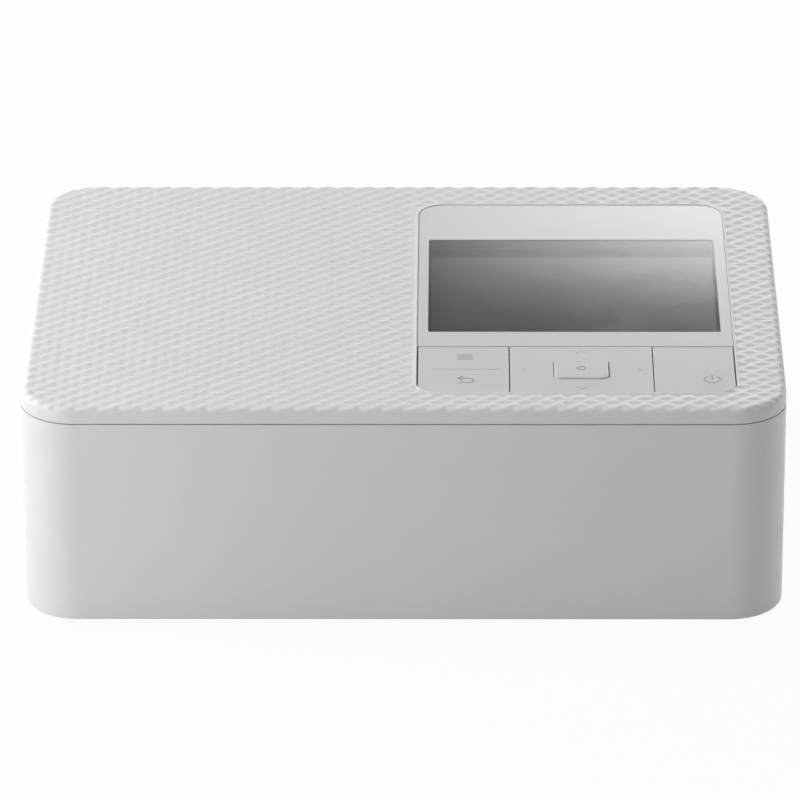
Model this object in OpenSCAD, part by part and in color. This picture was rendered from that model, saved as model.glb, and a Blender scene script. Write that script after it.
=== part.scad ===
// Compact dye-sublimation photo printer, in millimetres.
// Origin: the middle of the footprint, on the surface it stands on. +Z is up and the front faces -Y.

/* [Body] */
// Overall width
body_w = 182.2; // [180:0.2:196]
// Overall depth
body_d = 133; // [131:0.5:146]
// Overall height, from the feet to the top
body_h = 57.6; // [57.2:0.2:64]
// Radius of the upright corners
corner_r = 13; // [11:0.5:15]
// Thickness of the outer walls
wall = 2.2; // [1.8:0.1:2.5]
// Thickness of the case floor
floor_t = 2.2; // [1.8:0.1:2.4]
// Height of the rubber feet
foot_h = 1.2; // [1:0.1:1.4]
// Radius of the rubber feet
foot_r = 6; // [4:0.5:8]
// Rounding of the bottom edge
bottom_edge_r = 1; // [0.6:0.1:1.2]

/* [Top cover] */
// Height of the top cover's smooth rim
lid_h = 4; // [3.6:0.1:4.6]
// Thickness of the top cover's plate
lid_t = 2; // [1.6:0.1:2.2]
// Rounding of the top edge
top_edge_r = 1.5; // [0.8:0.1:1.6]
// Height of the tongue that reaches into the case
tongue_h = 2.2; // [1.5:0.1:3]
// Thickness of that tongue
tongue_t = 1.2; // [1:0.1:1.6]
// Open line between the top cover and the walls below it
seam_gap = 0.2; // [0.15:0.05:0.4]

/* [Display panel] */
// Width of the opening for the panel and keys
panel_w = 76.3; // [75:0.1:80]
// Opening's distance from the right side
panel_side = 11.7; // [11:0.1:14]
// Opening's distance from the back
panel_back = 12.4; // [11.4:0.1:13]
// Opening's distance from the front
panel_front = 9.6; // [9:0.1:12]
// Radius of the opening's rear corners
panel_back_r = 6.5; // [4:0.5:8]
// Radius of the opening's front corners
panel_front_r = 5; // [4:0.5:6]
// How far the panel lies below the top
panel_recess = 0.2; // [0.1:0.05:0.4]
// Thickness of the panel
panel_t = 2; // [1.8:0.1:2.2]
// Width of the display window
window_w = 70.85; // [68:0.05:71]
// Depth of the display window
window_d = 54.9; // [50:0.1:56]
// Window's distance from the opening's right edge
window_side = 2.8; // [2.6:0.1:4]
// Window's distance from the keys
window_front = 8.3; // [7:0.1:10]
// Thickness of the clear window
window_t = 1.2; // [1:0.1:1.5]
// Depth of the picture surface below the panel
lcd_depth = 2.6; // [2.2:0.1:2.8]

/* [Keys] */
// Depth of the row of keys
key_d = 26.2; // [25.6:0.1:28]
// Width of the left key
menu_w = 22.2; // [20:0.1:23]
// Width of the right key
power_w = 19.7; // [18:0.1:21]
// Thickness of the keys' plates
key_t = 1.6; // [1.4:0.1:1.8]
// How far the keys lie below the panel
key_drop = 0.1; // [0.05:0.05:0.3]
// Travel of the keys
key_travel = 0.5; // [0.3:0.05:0.5]
// Gap beside each key
key_gap = 0.25; // [0.2:0.05:0.35]
// Width of the middle key
ok_w = 13; // [11:0.1:13.4]
// Depth of the middle key
ok_d = 10.4; // [9:0.1:10.6]
// Corner radius of the middle key
ok_r = 1.5; // [1:0.1:2]
// How far the middle key stands above its pad
ok_rise = 0.4; // [0.2:0.05:0.5]

/* [Paper path and rollers] */
// Width of the photo paper
paper_w = 100; // [96:1:102]
// Radius of the platen roller's rubber
platen_r = 5.5; // [5:0.1:5.8]
// Radius of the platen roller's shaft
platen_shaft_r = 2.5; // [2:0.1:3]
// Radius of the feed roller's shaft
feed_shaft_r = 2; // [1.5:0.1:2.5]
// Radius of the pinch roller
pinch_r = 2.2; // [1.8:0.1:2.3]
// Radius of the pickup roller
pickup_r = 7; // [6:0.1:7.4]
// Radius of the pickup roller's shaft
pickup_shaft_r = 2; // [1.5:0.1:2.5]
// Room for one sheet between two rollers
sheet_gap = 0.3; // [0.2:0.05:0.4]

/* [Gears and motors] */
// Module of the feed gears
feed_m = 0.8; // [0.76:0.01:0.82]
// Module of the small gears
small_m = 0.6; // [0.56:0.01:0.62]
// Width of each gear
gear_t = 3; // [2.5:0.1:3.2]
// Radius of the feed motor
feed_motor_r = 9; // [8:0.1:9.5]
// Radius of the ribbon motor
ribbon_motor_r = 7.5; // [6:0.1:8]
// Radius of the head motor
head_motor_r = 5.5; // [5:0.1:6]
// Gap between the motors and the side wall
motor_gap = 3.5; // [2:0.1:6]

/* [Ink cassette and head] */
// Distance between the two spools
spool_gap = 42; // [41.6:0.1:43]
// Room between the paper and the cassette's two tubes
film_room = 6; // [5.8:0.1:6.4]
// Room between those tubes and the head arm
arm_gap = 1.3; // [1.2:0.1:1.6]
// Thickness of the tubes' walls
shell_t = 0.9; // [0.8:0.1:1]
// Room round the full supply roll
roll_gap = 0.6; // [0.5:0.1:2]
// Radius of the take-up roll
takeup_r = 5; // [4.5:0.1:7]
// Depth of the thermal head and its heat sink
head_d = 10; // [9:0.1:11]
// Angle that the head arm swings down
head_swing = 4.6; // [4:0.1:4.7]

/* [Ink door] */
// Reach of the ink door ahead of the take-up tube
door_front = 6.5; // [6:0.1:8]
// Reach of the ink door behind the supply tube
door_rear = 2.5; // [1.5:0.1:2.6]
// Height of the wall that is left above the ink door
door_rim = 3.8; // [3:0.1:6]
// Radius of the ink door's hinge bead
bead_r = 1.4; // [1.3:0.05:1.5]

/* [Front cover] */
// How far the front cover wraps round the corners
wrap_d = 13; // [12.8:0.1:14]
// Distance of its hinge axis behind its face
hinge_in = 4.5; // [4.4:0.05:4.6]
// Height of its hinge axis above the table
hinge_z = 6; // [5.9:0.05:6.2]
// Distance of the hinges from the sides
hinge_side = 16.1; // [13:0.1:21]
// Radius of the hinge pins
hinge_pin_r = 1.2; // [1:0.05:1.25]

/* [Circuit boards and sockets] */
// Thickness of the circuit boards
board_t = 1; // [0.8:0.1:1.2]
// Outer radius of the power inlet
inlet_r = 4.2; // [3.8:0.1:5]
// Width of the memory card slot
card_w = 24.6; // [24:0.1:25]
// Height of the memory card slot
card_h = 3; // [2.6:0.1:3.4]

/* [Hidden] */
$fn = 48;
eps = 0.01;
plastic = "whitesmoke";
glossy = "gainsboro";
steel = "silver";
dark = "dimgray";

// Walls and seams
half_w = body_w / 2;
half_d = body_d / 2;
in_x = half_w - wall;
in_y = half_d - wall;
floor_z = foot_h + floor_t;
seam_z = body_h - lid_h;
case_top = seam_z - seam_gap;
lid_z = body_h - lid_t;
fit = 0.15;
run = 0.06;

// Front cover: its rear edge, its hinge axis and the edge of the floor behind it
cover_gap = 0.2;
cover_lift = 0.3;
cover_y = -half_d + wrap_d;
cover_z = foot_h + cover_lift;
hinge_y = -half_d + hinge_in;
hinge_drop = hinge_z - cover_z;
floor_front = hinge_y + hinge_drop + 0.5;
wrap_r = cover_y - hinge_y;
tip_r = case_top - hinge_z;
arm_r = hinge_in - wall - 0.3;
ear_r = hinge_pin_r + 1.3;
hinge_x = half_w - hinge_side;
arm_w = 5;
arm_foot = 4;
ear_w = 2.5;
ear_gap = 0.3;
rib_pitch = 24;
rib_t = 1.2;
rib_out = 1.2;

// Opening in the top cover, and what fills it
panel_x1 = half_w - panel_side;
panel_x0 = panel_x1 - panel_w;
panel_y1 = half_d - panel_back;
panel_y0 = -half_d + panel_front;
panel_d = panel_y1 - panel_y0;
panel_top = body_h - panel_recess;
panel_z = panel_top - panel_t;
panel_gap = 0.3;
trim_gap = 0.1;
key_back_gap = 0.2;
skirt_t = 1.2;
ledge_w = 1.5;
ledge_t = 1.2;
window_x1 = panel_x1 - window_side;
window_x0 = window_x1 - window_w;
key_y1 = panel_y0 + key_d;
window_y0 = key_y1 + window_front;
window_y1 = window_y0 + window_d;
window_gap = 0.05;
lcd_margin = 0.6;
lcd_top = panel_top - lcd_depth;
lcd_t = 2.2;
frame_t = 0.6;
frame_lip = 1.6;
frame_edge = 0.5;

// Keys, their carrier and the switches below it
nav_x0 = panel_x0 + menu_w;
nav_x1 = panel_x1 - power_w;
nav_x = (nav_x0 + nav_x1) / 2;
nav_y = (panel_y0 + key_y1) / 2;
key_top = panel_top - key_drop;
key_z = key_top - key_t;
carrier_top = key_z - key_travel - 0.4;
carrier_t = 2;
carrier_z = carrier_top - carrier_t;
carrier_back = 0.3;
post_r = 1.5;
post_gap = 0.06;
stem_r = 1.2;
stem_hole_r = 1.9;
menu_x = (panel_x0 + nav_x0) / 2;
power_x = (nav_x1 + panel_x1) / 2;
post_dx = 6;
ring_z = carrier_top - 1;
ring_t = 1.6;
ring_in = 7.8;
ring_out = 9.2;
ring_gap = 0.4;
trunnion_r = 0.5;
trunnion_gap = 0.05;
trunnion_l = 2.4;
lug_w = 3;
lug_t = 1;
ok_gap = 0.2;
ok_collar = 1;
ok_collar_h = 1;
switch_base = 1.5;
plunger_h = 0.5;
plunger_r = 1;
switch_w = 4.5;
small_switch_w = 2.2;
pad_switch_x = 13;
pad_switch_y = 10.3;
pcb_top = carrier_z - 1.7;
pcb_z = pcb_top - board_t;
switch_top = pcb_top + switch_base + plunger_h;
stem_z = switch_top + key_travel + 0.05;
pcb_margin = 5.6;
pcb_y0 = panel_y0 - 2.6;
pcb_y1 = window_y1 + 4.5;
boss_out = 3.6;
boss_r = 2.2;
boss_ys = [panel_y0 + 12, window_y1 - 3];
boss_xs = [panel_x0 - boss_out, panel_x1 + boss_out];

// Gear teeth
platen_teeth = 24;
feed_teeth = 16;
idler_teeth = 20;
pinion_teeth = 14;
takeup_teeth = 20;
small_teeth = 10;
cam_teeth = 14;
tooth_lash = 0.16;
pressure = 25;

// Chassis plates either side of the paper, and the gear layers on the left
plate_t = 1.6;
plate_x = paper_w / 2 + 8.4;
layer_gap = 1;
layer1 = -plate_x - plate_t - layer_gap - gear_t;
layer2 = layer1 - layer_gap - gear_t;
gear_plate_t = 1.2;
gear_plate_edge = 4;
gear_plate_x = layer2 - layer_gap - gear_plate_t;
base_t = 1.2;
base_z = floor_z + base_t;
bay_xs = [-36:24:36];
chassis_top = pcb_z - 0.7;
standoff_r = 2;

// Head arm and cassette: they fill the height from the paper up to the panel's board
platen_gear_r = platen_teeth * feed_m / 2;
platen_z = floor_z + 0.7 + platen_gear_r + feed_m;
paper_z = platen_z + platen_r;
beam_t = 1.5;
beam_room = 3.6;
beam_z = pcb_z - beam_room;
shell_r = (beam_z - arm_gap - paper_z - film_room) / 2;
spool_z = paper_z + film_room + shell_r;
supply_r = shell_r - shell_t - roll_gap;

// Main board on the back wall, the arm's pivot in front of it and the cassette in front of that
main_back = 9.3;
main_y = in_y - main_back;
tube_r = 2.4;
tube_gap = 0.2;
pivot_back = 3.9;
pivot = [main_y - tube_r - tube_gap, beam_z + 0.6];
platen_y = pivot[0] - pivot_back - shell_r - spool_gap / 2;

// Axes of the rollers, as [y, z]
feed_r = platen_r * feed_teeth / platen_teeth;
feed_back = 18;
platen = [platen_y, platen_z];
feed = [platen_y - feed_back, paper_z - feed_r];
pinch = [feed[0], paper_z + sheet_gap + pinch_r];
pinch_shaft_r = 1;
roller_x = paper_w / 2 + 2;
bush_t = 1.5;
bush_out = 0.4;

// Ink cassette and what turns its spools
supply = [platen_y + spool_gap / 2, spool_z];
takeup = [platen_y - spool_gap / 2, spool_z];
pickup = [takeup[0] - 19, paper_z + 2.5];
pickup_w = 20;
pickup_x = 10;
cheek_x = paper_w / 2 + 4;
cheek_t = 1.6;
cheek_drop = 3;
spool_in = 0.6;
flange_r = shell_r - shell_t - 0.4;
journal_r = 3.4;
hex_r = 2.4;
hex_gap = 0.25;
hex_l = 8;
hub_r = 2.3;
hub_out = 1;
film_t = 0.15;
film_gap = 0.2;
film_lean = 17;
film_half = paper_w / 2;
guide_dy = 11;
guide_r = 1;
guide_z = paper_z + 2.2;
film_z = guide_z - guide_r - 0.05 - film_t;
lobe_r = 1.8;
mouth = 5;
grip_half = 14;
grip_x = half_w - 7;
grip_wall = 1.5;
grip_low = 2;
window_pad = 0.6;

// Head arm, its pivot and its cam
pivot_r = 1.5;
tube_x = plate_x - 1;
head_half = paper_w / 2;
head_z = paper_z + 4.5;
head_t = 1.8;
tab_y = platen_y + 8;
tab_d = 4;
cam_base = 2.3;
cam_gap = 0.2;
cam_tower = 12;
cam_turn = 160;
cam_lift = (pivot[0] - tab_y) * sin(head_swing);
cam = [tab_y, beam_z + beam_t + cam_gap + cam_base];
cam_shaft_r = 1.5;

// Gear centres: the idler meshes with both the platen gear and the feed gear
idler = meet(feed, platen, gear_r(feed_teeth) + gear_r(idler_teeth), platen_gear_r + gear_r(idler_teeth));
pinion_dir = 60;
motor = polar(idler, gear_r(idler_teeth) + gear_r(pinion_teeth), pinion_dir);
ribbon_dir = 200;
ribbon = polar(takeup, (takeup_teeth + small_teeth) * small_m / 2, ribbon_dir);
lift_dir = -10;
lift = polar(cam, (cam_teeth + small_teeth) * small_m / 2, lift_dir);
stud_r = 1.5;
motor_shaft_r = 1;
motor_boss = 1.2;
motor_l = in_x + gear_plate_x - motor_gap - motor_boss;

// Ink door, in the right wall
door_y0 = takeup[0] - shell_r - door_front;
door_y1 = supply[0] + shell_r + door_rear;
door_z = paper_z - bead_r;
door_h = case_top - door_rim - door_z;
door_gap = 0.3;
door_pin_r = 0.8;
door_pin_l = 2;
door_axis_x = half_w - bead_r;
dish_w = 18;
dish_r = 7.6;
dish_out = 6.6;

// Eject lever, beside the mouth of the cassette
lever = [plate_x + plate_t + 6, takeup[0] - 13];
lever_z = spool_z - shell_r + grip_low + 1;
lever_t = 3;
lever_r = 3;
kicker_l = 8;
kicker_w = 2;
kick_gap = 0.3;
handle_l = grip_x - lever[0] - 0.1;
handle_w = 5;
lever_pin_r = 1.5;
tab_w = 2;

// Boards and sockets
slot_z0 = paper_z - 2;
slot_z1 = paper_z + 4.6;
main_half = paper_w / 2 + 6;
main_z0 = slot_z1 + 2.4;
main_z1 = pivot[1] - tube_r;
inlet_x = -main_half + 12;
inlet_z = main_z0 + 7;
port_x = -main_half + 34;
port_w = 9;
port_h = 3.2;
card_z = floor_z + 8;
card_y = cover_y + 20;
card_x0 = lever[0] + 4;
card_over = 0.8;
card_edge = 0.6;
card_end = 0.4;
vent_w = 1.6;
vent_pitch = 3.4;
foot_side = 24;
foot_front = 20;
foot_back = 14;
guide_t = 0.8;
guide_top = paper_z - 0.8;
can_r = 2.6;
can_h = 6;
cable_t = 0.25;
cable_w = 16;
cable_x = main_half - 32.9;

// Long screws that hold the two halves of the case
post_x = in_x - 7.9;
post_ys = [-half_d + 16, half_d - 9];
case_post_r = 3.6;
post_split = floor_z + 26.6;
screw_r = 1.15;
screw_head_r = 2.6;
screw_head_t = 2;
screw_seat = post_split - 10;
screw_l = 20;

// ---- Functions ----

function gear_r(teeth) = teeth * feed_m / 2;
function polar(c, r, a) = c + r * [cos(a), sin(a)];
function angle_to(a, b) = atan2(b[1] - a[1], b[0] - a[0]);

// The upper point at distance ra from a and rb from b
function meet(a, b, ra, rb) =
    let (d = norm(b - a), u = (b - a) / d, s = (ra * ra - rb * rb + d * d) / (2 * d))
    a + u * s + [-u[1], u[0]] * sqrt(ra * ra - s * s);

// Turn of gear b that puts it in mesh with gear a, whose own turn is turn_a
function mesh_turn(a, b, turn_a, teeth_a, teeth_b) =
    let (dir = angle_to(a, b)) dir + 180 + 180 / teeth_b + (dir - turn_a) * teeth_a / teeth_b;

function involute(a) = tan(a) * 180 / PI - a;

// Half of a tooth's angle at radius r
function half_tooth(m, n, r) =
    let (rp = m * n / 2, rb = rp * cos(pressure))
    90 / n - tooth_lash / 4 / rp * 180 / PI + involute(pressure) - involute(acos(min(1, rb / r)));

// Outline of a spur gear with n teeth, one tooth on the X axis
function gear_outline(m, n) =
    let (
        rp = m * n / 2,
        radii = [rp - 1.15 * m, rp * cos(pressure) + eps, rp, rp + 0.45 * m, rp + 0.9 * m],
        half = [for (r = radii) half_tooth(m, n, max(r, rp * cos(pressure)))]
    )
    [for (k = [0:n - 1], i = [0:9])
        let (j = i < 5 ? i : 9 - i, a = 360 * k / n + (i < 5 ? -1 : 1) * half[j])
        radii[j] * [cos(a), sin(a)]];

// Upper and lower end of the film's run between a spool and its guide bar, behind (s = 1) or ahead of the head
function film_top(c, r, s) = polar(c, r + film_gap, 270 - film_lean * s);
function film_low(s) = [platen_y + s * (guide_dy + guide_r + film_gap), film_z];

// Where that run passes the lower edge of the tube
function mouth_y(c, r, s) =
    let (a = film_low(s), b = film_top(c, r, s), t = (spool_z - shell_r + shell_t - a[1]) / (b[1] - a[1]))
    a[0] + t * (b[0] - a[0]);

// Turns that put every gear in mesh
idler_turn = mesh_turn(platen, idler, 0, platen_teeth, idler_teeth);
feed_turn = mesh_turn(idler, feed, idler_turn, idler_teeth, feed_teeth);
pinion_turn = mesh_turn(idler, motor, idler_turn, idler_teeth, pinion_teeth);
ribbon_turn = mesh_turn(takeup, ribbon, 0, takeup_teeth, small_teeth);
lift_turn = mesh_turn(cam, lift, 0, cam_teeth, small_teeth);

// ---- Shapes used again and again ----

// Plan of a rounded rectangle from [x0, y0] to [x1, y1], with its own front and rear corner radii
module plan(x0, x1, y0, y1, rf, rb) {
    polygon([
        [x0 + rf, y0], [x1 - rf, y0], [x1, y0 + rf], [x1, y1 - rb],
        [x1 - rb, y1], [x0 + rb, y1], [x0, y1 - rb], [x0, y0 + rf]
    ]);
    for (x = [x0 + rf, x1 - rf]) translate([x, y0 + rf]) circle(rf);
    for (x = [x0 + rb, x1 - rb]) translate([x, y1 - rb]) circle(rb);
}

// Plan of the body, drawn in by inset
module body_plan(inset = 0) {
    r = corner_r - inset;
    plan(-half_w + inset, half_w - inset, -half_d + inset, half_d - inset, r, r);
}

// Plan of the opening in the top cover, drawn out by grow
module panel_plan(grow = 0) {
    plan(panel_x0 - grow, panel_x1 + grow, panel_y0 - grow, panel_y1 + grow, panel_front_r + grow,
        panel_back_r + grow);
}

// Quarter of a slab's section: width w from its middle, height h, upper edge rounded by r
module edge_section(w, h, r) {
    square([w, h - r]);
    square([w - r, h]);
    translate([w - r, h - r]) circle(r);
}

// Slab with the body's plan, its upper edge rounded
module body_slab(h, r) {
    x = half_w - corner_r;
    y = half_d - corner_r;
    linear_extrude(h) square([2 * x, 2 * y], center = true);
    for (sx = [-1, 1], sy = [-1, 1]) translate([sx * x, sy * y, 0]) rotate_extrude() edge_section(corner_r,
        h, r);
    for (a = [0, 180]) rotate(a) {
        translate([x, y, 0]) rotate([90, 0, 0]) linear_extrude(2 * y) edge_section(corner_r, h, r);
        translate([-x, y, 0]) rotate([90, 0, 90]) linear_extrude(2 * x) edge_section(corner_r, h, r);
    }
}

module box(x0, x1, y0, y1, z0, z1) {
    translate([x0, y0, z0]) cube([x1 - x0, y1 - y0, z1 - z0]);
}

// Extrudes a Y-Z section from x0 to x1
module along_x(x0, x1) {
    translate([x0, 0, 0]) rotate([90, 0, 90]) linear_extrude(x1 - x0) children();
}

// Round bar along X at the axis c = [y, z]
module bar(x0, x1, c, r) {
    translate([x0, c[0], c[1]]) rotate([0, 90, 0]) cylinder(r = r, h = x1 - x0);
}

// Spur gear on the axis c, starting at x0, with a bore
module gear(x0, c, m, n, turn, bore) {
    difference() {
        along_x(x0, x0 + gear_t) translate(c) rotate(turn) polygon(gear_outline(m, n));
        bar(x0 - 1, x0 + gear_t + 1, c, bore);
    }
}

// Motor can on the left of the gear plate, with a bore for its shaft
module motor_can(c, r) {
    x = gear_plate_x;
    difference() {
        union() {
            bar(x - motor_l, x, c, r);
            bar(x - motor_l - motor_boss, x - motor_l, c, r / 3);
        }
        bar(x - 5, x + 1, c, motor_shaft_r + run);
    }
}

// Pinion with its shaft, in the gear layer that starts at x0
module pinion(x0, c, m, n, turn) {
    gear(x0, c, m, n, turn, motor_shaft_r / 2);
    bar(gear_plate_x - 4, x0 + gear_t, c, motor_shaft_r);
}

// ---- Casing ----

// Side view of the space that the front cover may fill, so that it swings clear
module cover_section() {
    translate([-half_d - 1, cover_z]) square([hinge_in + 1, case_top - cover_z]);
    intersection() {
        translate([hinge_y, hinge_z]) circle(tip_r);
        translate([hinge_y - eps, hinge_z]) square([wrap_r + eps, tip_r]);
    }
    intersection() {
        translate([hinge_y, hinge_z]) circle(wrap_r);
        translate([hinge_y - eps, cover_z]) square([wrap_r + 1, hinge_drop + eps]);
    }
}

// Closed block of the body's lower part, its bottom edge rounded
module lower_block(z0, z1) {
    translate([0, 0, z1]) mirror([0, 0, 1]) body_slab(z1 - z0, bottom_edge_r);
}

module door_opening() {
    box(in_x - 5, half_w + 1, door_y0 - door_gap, door_y1 + door_gap, door_z - bead_r - door_gap,
        door_z + door_h + door_gap);
}

module case_walls() {
    difference() {
        lower_block(foot_h, case_top);
        translate([0, 0, floor_z]) linear_extrude(case_top) body_plan(wall);
        box(-half_w - 1, half_w + 1, -half_d - 1, cover_y + cover_gap, foot_h - 1, case_top + 1);
    }
    box(-in_x + 2, in_x - 2, floor_front, cover_y + 1, foot_h, floor_z);
}

// One hinge arm: a tongue of the floor that reaches forward to the axis
module hinge_arm(x) {
    bar(x - arm_w / 2, x + arm_w / 2, [hinge_y, hinge_z], arm_r);
    box(x - arm_w / 2, x + arm_w / 2, hinge_y, floor_front + arm_foot, hinge_z - arm_r, hinge_z + arm_r);
    box(x - arm_w / 2, x + arm_w / 2, floor_front, floor_front + arm_foot, floor_z - eps, hinge_z + arm_r);
}

module bottom_case() color(plastic) {
    difference() {
        union() {
            case_walls();
            for (s = [-1, 1]) hinge_arm(s * hinge_x);
            for (s = [-1, 1], y = post_ys) translate([s * post_x, y, floor_z - eps]) {
                cylinder(r = case_post_r, h = post_split - floor_z + eps);
            }
            for (y = [door_y0 - door_gap - door_pin_l - 1, door_y1 + door_gap]) {
                box(in_x - 2, in_x + eps, y, y + door_pin_l + 1, door_z - 3, door_z + 3);
            }
            translate([lever[0], lever[1], floor_z - eps]) cylinder(r = lever_r,
                h = lever_z - floor_z - 0.2 + eps);
            translate([lever[0], lever[1], floor_z]) cylinder(r = lever_pin_r,
                h = lever_z + lever_t + 0.6 - floor_z);
            for (y = [card_y - 9, card_y + 9]) {
                box(card_x0 + 3, card_x0 + 8, y - 2.5, y + 2.5, floor_z - eps, card_z);
            }
        }
        door_opening();
        for (s = [-1, 1]) bar(s * hinge_x - 6, s * hinge_x + 6, [hinge_y, hinge_z], hinge_pin_r + run);
        for (s = [-1, 1], y = post_ys) translate([s * post_x, y, 0]) {
            cylinder(r = screw_r + 0.4, h = body_h);
            cylinder(r = screw_head_r + 0.2, h = screw_seat);
        }
        translate([door_axis_x, door_y0 - door_gap - door_pin_l - 0.2, door_z]) rotate([-90, 0, 0]) {
            cylinder(r = door_pin_r + run, h = door_y1 - door_y0 + 2 * (door_gap + door_pin_l + 0.2));
        }
        // Paper slot, vents, power inlet and data socket in the back wall
        box(-paper_w / 2 - 2, paper_w / 2 + 2, in_y - 1, half_d + 1, slot_z0, slot_z1);
        for (x = [main_half - 48:vent_pitch:main_half - 6]) {
            box(x, x + vent_w, in_y - 1, half_d + 1, main_z0 + 3, main_z1 - 2.5);
        }
        translate([inlet_x, in_y - 1, inlet_z]) rotate([-90, 0, 0]) cylinder(r = inlet_r + 0.1, h = wall + 2);
        box(port_x - port_w / 2 - 0.2, port_x + port_w / 2 + 0.2, in_y - 1, half_d + 1,
            inlet_z - port_h / 2 - 0.2,
            inlet_z + port_h / 2 + 0.2);
        // Card slot in the right wall and vents in the left one
        box(in_x - 1, half_w + 1, card_y - card_w / 2 - 0.2, card_y + card_w / 2 + 0.2,
            card_z + board_t - 0.1,
            card_z + board_t + card_h + 0.2);
        for (y = [platen_y - 42:vent_pitch:platen_y + 22]) {
            box(-half_w - 1, -in_x + 1, y, y + vent_w, floor_z + 6, floor_z + 20);
        }
    }
}

module top_cover() color(plastic) {
    difference() {
        union() {
            translate([0, 0, seam_z]) difference() {
                body_slab(lid_h, top_edge_r);
                translate([0, 0, -1]) linear_extrude(lid_h - lid_t + 1) body_plan(wall + fit + tongue_t);
            }
            translate([0, 0, seam_z - tongue_h]) linear_extrude(tongue_h + eps) difference() {
                body_plan(wall + fit);
                body_plan(wall + fit + tongue_t);
            }
            translate([0, 0,
                carrier_z - ledge_t]) linear_extrude(lid_z - carrier_z + ledge_t + eps) panel_plan(skirt_t);
            for (x = boss_xs, y = boss_ys) translate([x, y, pcb_top]) cylinder(r = boss_r,
                h = lid_z - pcb_top + eps);
            for (s = [-1, 1], y = post_ys) translate([s * post_x, y, post_split + 0.1]) {
                cylinder(r = case_post_r - 0.4, h = lid_z - post_split);
            }
        }
        // Opening, with a high ledge under the display panel and a low one under the key carrier
        translate([0, 0, panel_z]) linear_extrude(lid_t + 2) panel_plan();
        difference() {
            translate([0, 0, carrier_z]) linear_extrude(body_h) panel_plan();
            box(panel_x0 - 1, panel_x1 + 1, key_y1 + 0.5, panel_y1 + 1, panel_z - ledge_t, panel_z);
        }
        translate([0, 0, carrier_z - ledge_t - 1]) linear_extrude(body_h) panel_plan(-ledge_w);
        for (x = boss_xs, y = boss_ys) translate([x, y, pcb_top - 1]) cylinder(r = screw_r,
            h = lid_z - pcb_top);
        for (s = [-1, 1], y = post_ys) translate([s * post_x, y, post_split]) {
            cylinder(r = screw_r, h = screw_seat + screw_head_t + screw_l + 1 - post_split);
        }
    }
}

module front_cover() color(plastic) {
    difference() {
        union() {
            intersection() {
                difference() {
                    lower_block(cover_z, case_top);
                    translate([0, 0, cover_z - 1]) linear_extrude(body_h) body_plan(wall);
                }
                along_x(-half_w - 1, half_w + 1) cover_section();
            }
            for (s = [-1, 1], e = [-1, 1]) cover_ear(s * hinge_x + e * (arm_w / 2 + ear_gap + ear_w / 2));
            // Shallow ribs that stiffen the inside of the face
            for (i = [-2:2]) translate([i * rib_pitch, 0, 0]) {
                box(-rib_t / 2, rib_t / 2, -half_d + wall - eps, -half_d + wall + rib_out, cover_z + 8,
                    case_top - 6);
            }
        }
        for (s = [-1, 1]) bar(s * hinge_x - 7, s * hinge_x + 7, [hinge_y, hinge_z], hinge_pin_r);
    }
}

module cover_ear(x) {
    bar(x - ear_w / 2, x + ear_w / 2, [hinge_y, hinge_z], ear_r);
    box(x - ear_w / 2, x + ear_w / 2, -half_d + wall - eps, hinge_y, hinge_z - ear_r, hinge_z + ear_r);
}

module front_hinge_pins() color(steel) {
    for (s = [-1, 1]) {
        bar(s * hinge_x - arm_w / 2 - ear_gap - ear_w, s * hinge_x + arm_w / 2 + ear_gap + ear_w,
            [hinge_y, hinge_z],
            hinge_pin_r);
    }
}

module ink_door() color(plastic) {
    difference() {
        union() {
            box(half_w - wall, half_w, door_y0, door_y1, door_z, door_z + door_h);
            translate([door_axis_x, door_y0, door_z]) rotate([-90, 0, 0]) cylinder(r = bead_r,
                h = door_y1 - door_y0);
            for (y = [door_y0 + 14, door_y1 - 18]) box(in_x - 1.2, in_x + eps, y, y + 1.2, door_z + 5,
                door_z + door_h - 4);
        }
        // Finger dish at the upper edge
        translate([half_w + dish_out, (door_y0 + door_y1) / 2, door_z + door_h - 2]) {
            rotate([90, 0, 0]) cylinder(r = dish_r, h = dish_w, center = true);
        }
    }
    translate([door_axis_x, door_y0 - door_pin_l, door_z]) rotate([-90, 0, 0]) {
        cylinder(r = door_pin_r, h = door_y1 - door_y0 + 2 * door_pin_l);
    }
}

module rubber_feet() color(dark) {
    for (sx = [-1, 1], y = [-half_d + foot_front, half_d - foot_back]) {
        translate([sx * (half_w - foot_side), y, 0]) cylinder(r = foot_r, h = foot_h);
    }
}

module screws() color(steel) {
    for (s = [-1, 1], y = post_ys) translate([s * post_x, y, screw_seat]) {
        translate([0, 0, -screw_head_t]) screw(screw_head_t + screw_l);
    }
    for (x = boss_xs, y = boss_ys) translate([x, y, pcb_z - 1]) screw(5);
}

// Pan-head screw standing on its head, l long in all, with a cross slot
module screw(l) {
    head = l > 10 ? screw_head_t : 1;
    radius = l > 10 ? screw_head_r : 1.9;
    difference() {
        union() {
            cylinder(r = radius, h = head);
            cylinder(r = screw_r, h = l);
        }
        for (a = [0, 90]) rotate(a) translate([-radius * 0.6, -0.25, -1]) cube([radius * 1.2, 0.5, 1.5]);
    }
}

// ---- Display and keys ----

module display_panel() color(glossy) {
    translate([0, 0, panel_z]) linear_extrude(panel_t) difference() {
        intersection() {
            panel_plan(-trim_gap);
            translate([panel_x0, key_y1]) square([panel_w, panel_d]);
        }
        plan(window_x0, window_x1, window_y0, window_y1, 0.6, 0.6);
    }
}

module display_window() color("lightsteelblue", 0.5) {
    g = window_gap;
    translate([0, 0, panel_top - window_t]) linear_extrude(window_t) {
        plan(window_x0 + g, window_x1 - g, window_y0 + g, window_y1 - g, 0.55, 0.55);
    }
}

module lcd_plan(grow) {
    m = lcd_margin + grow;
    translate([window_x0 - m, window_y0 - m]) square([window_w + 2 * m, window_d + 2 * m]);
}

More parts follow.
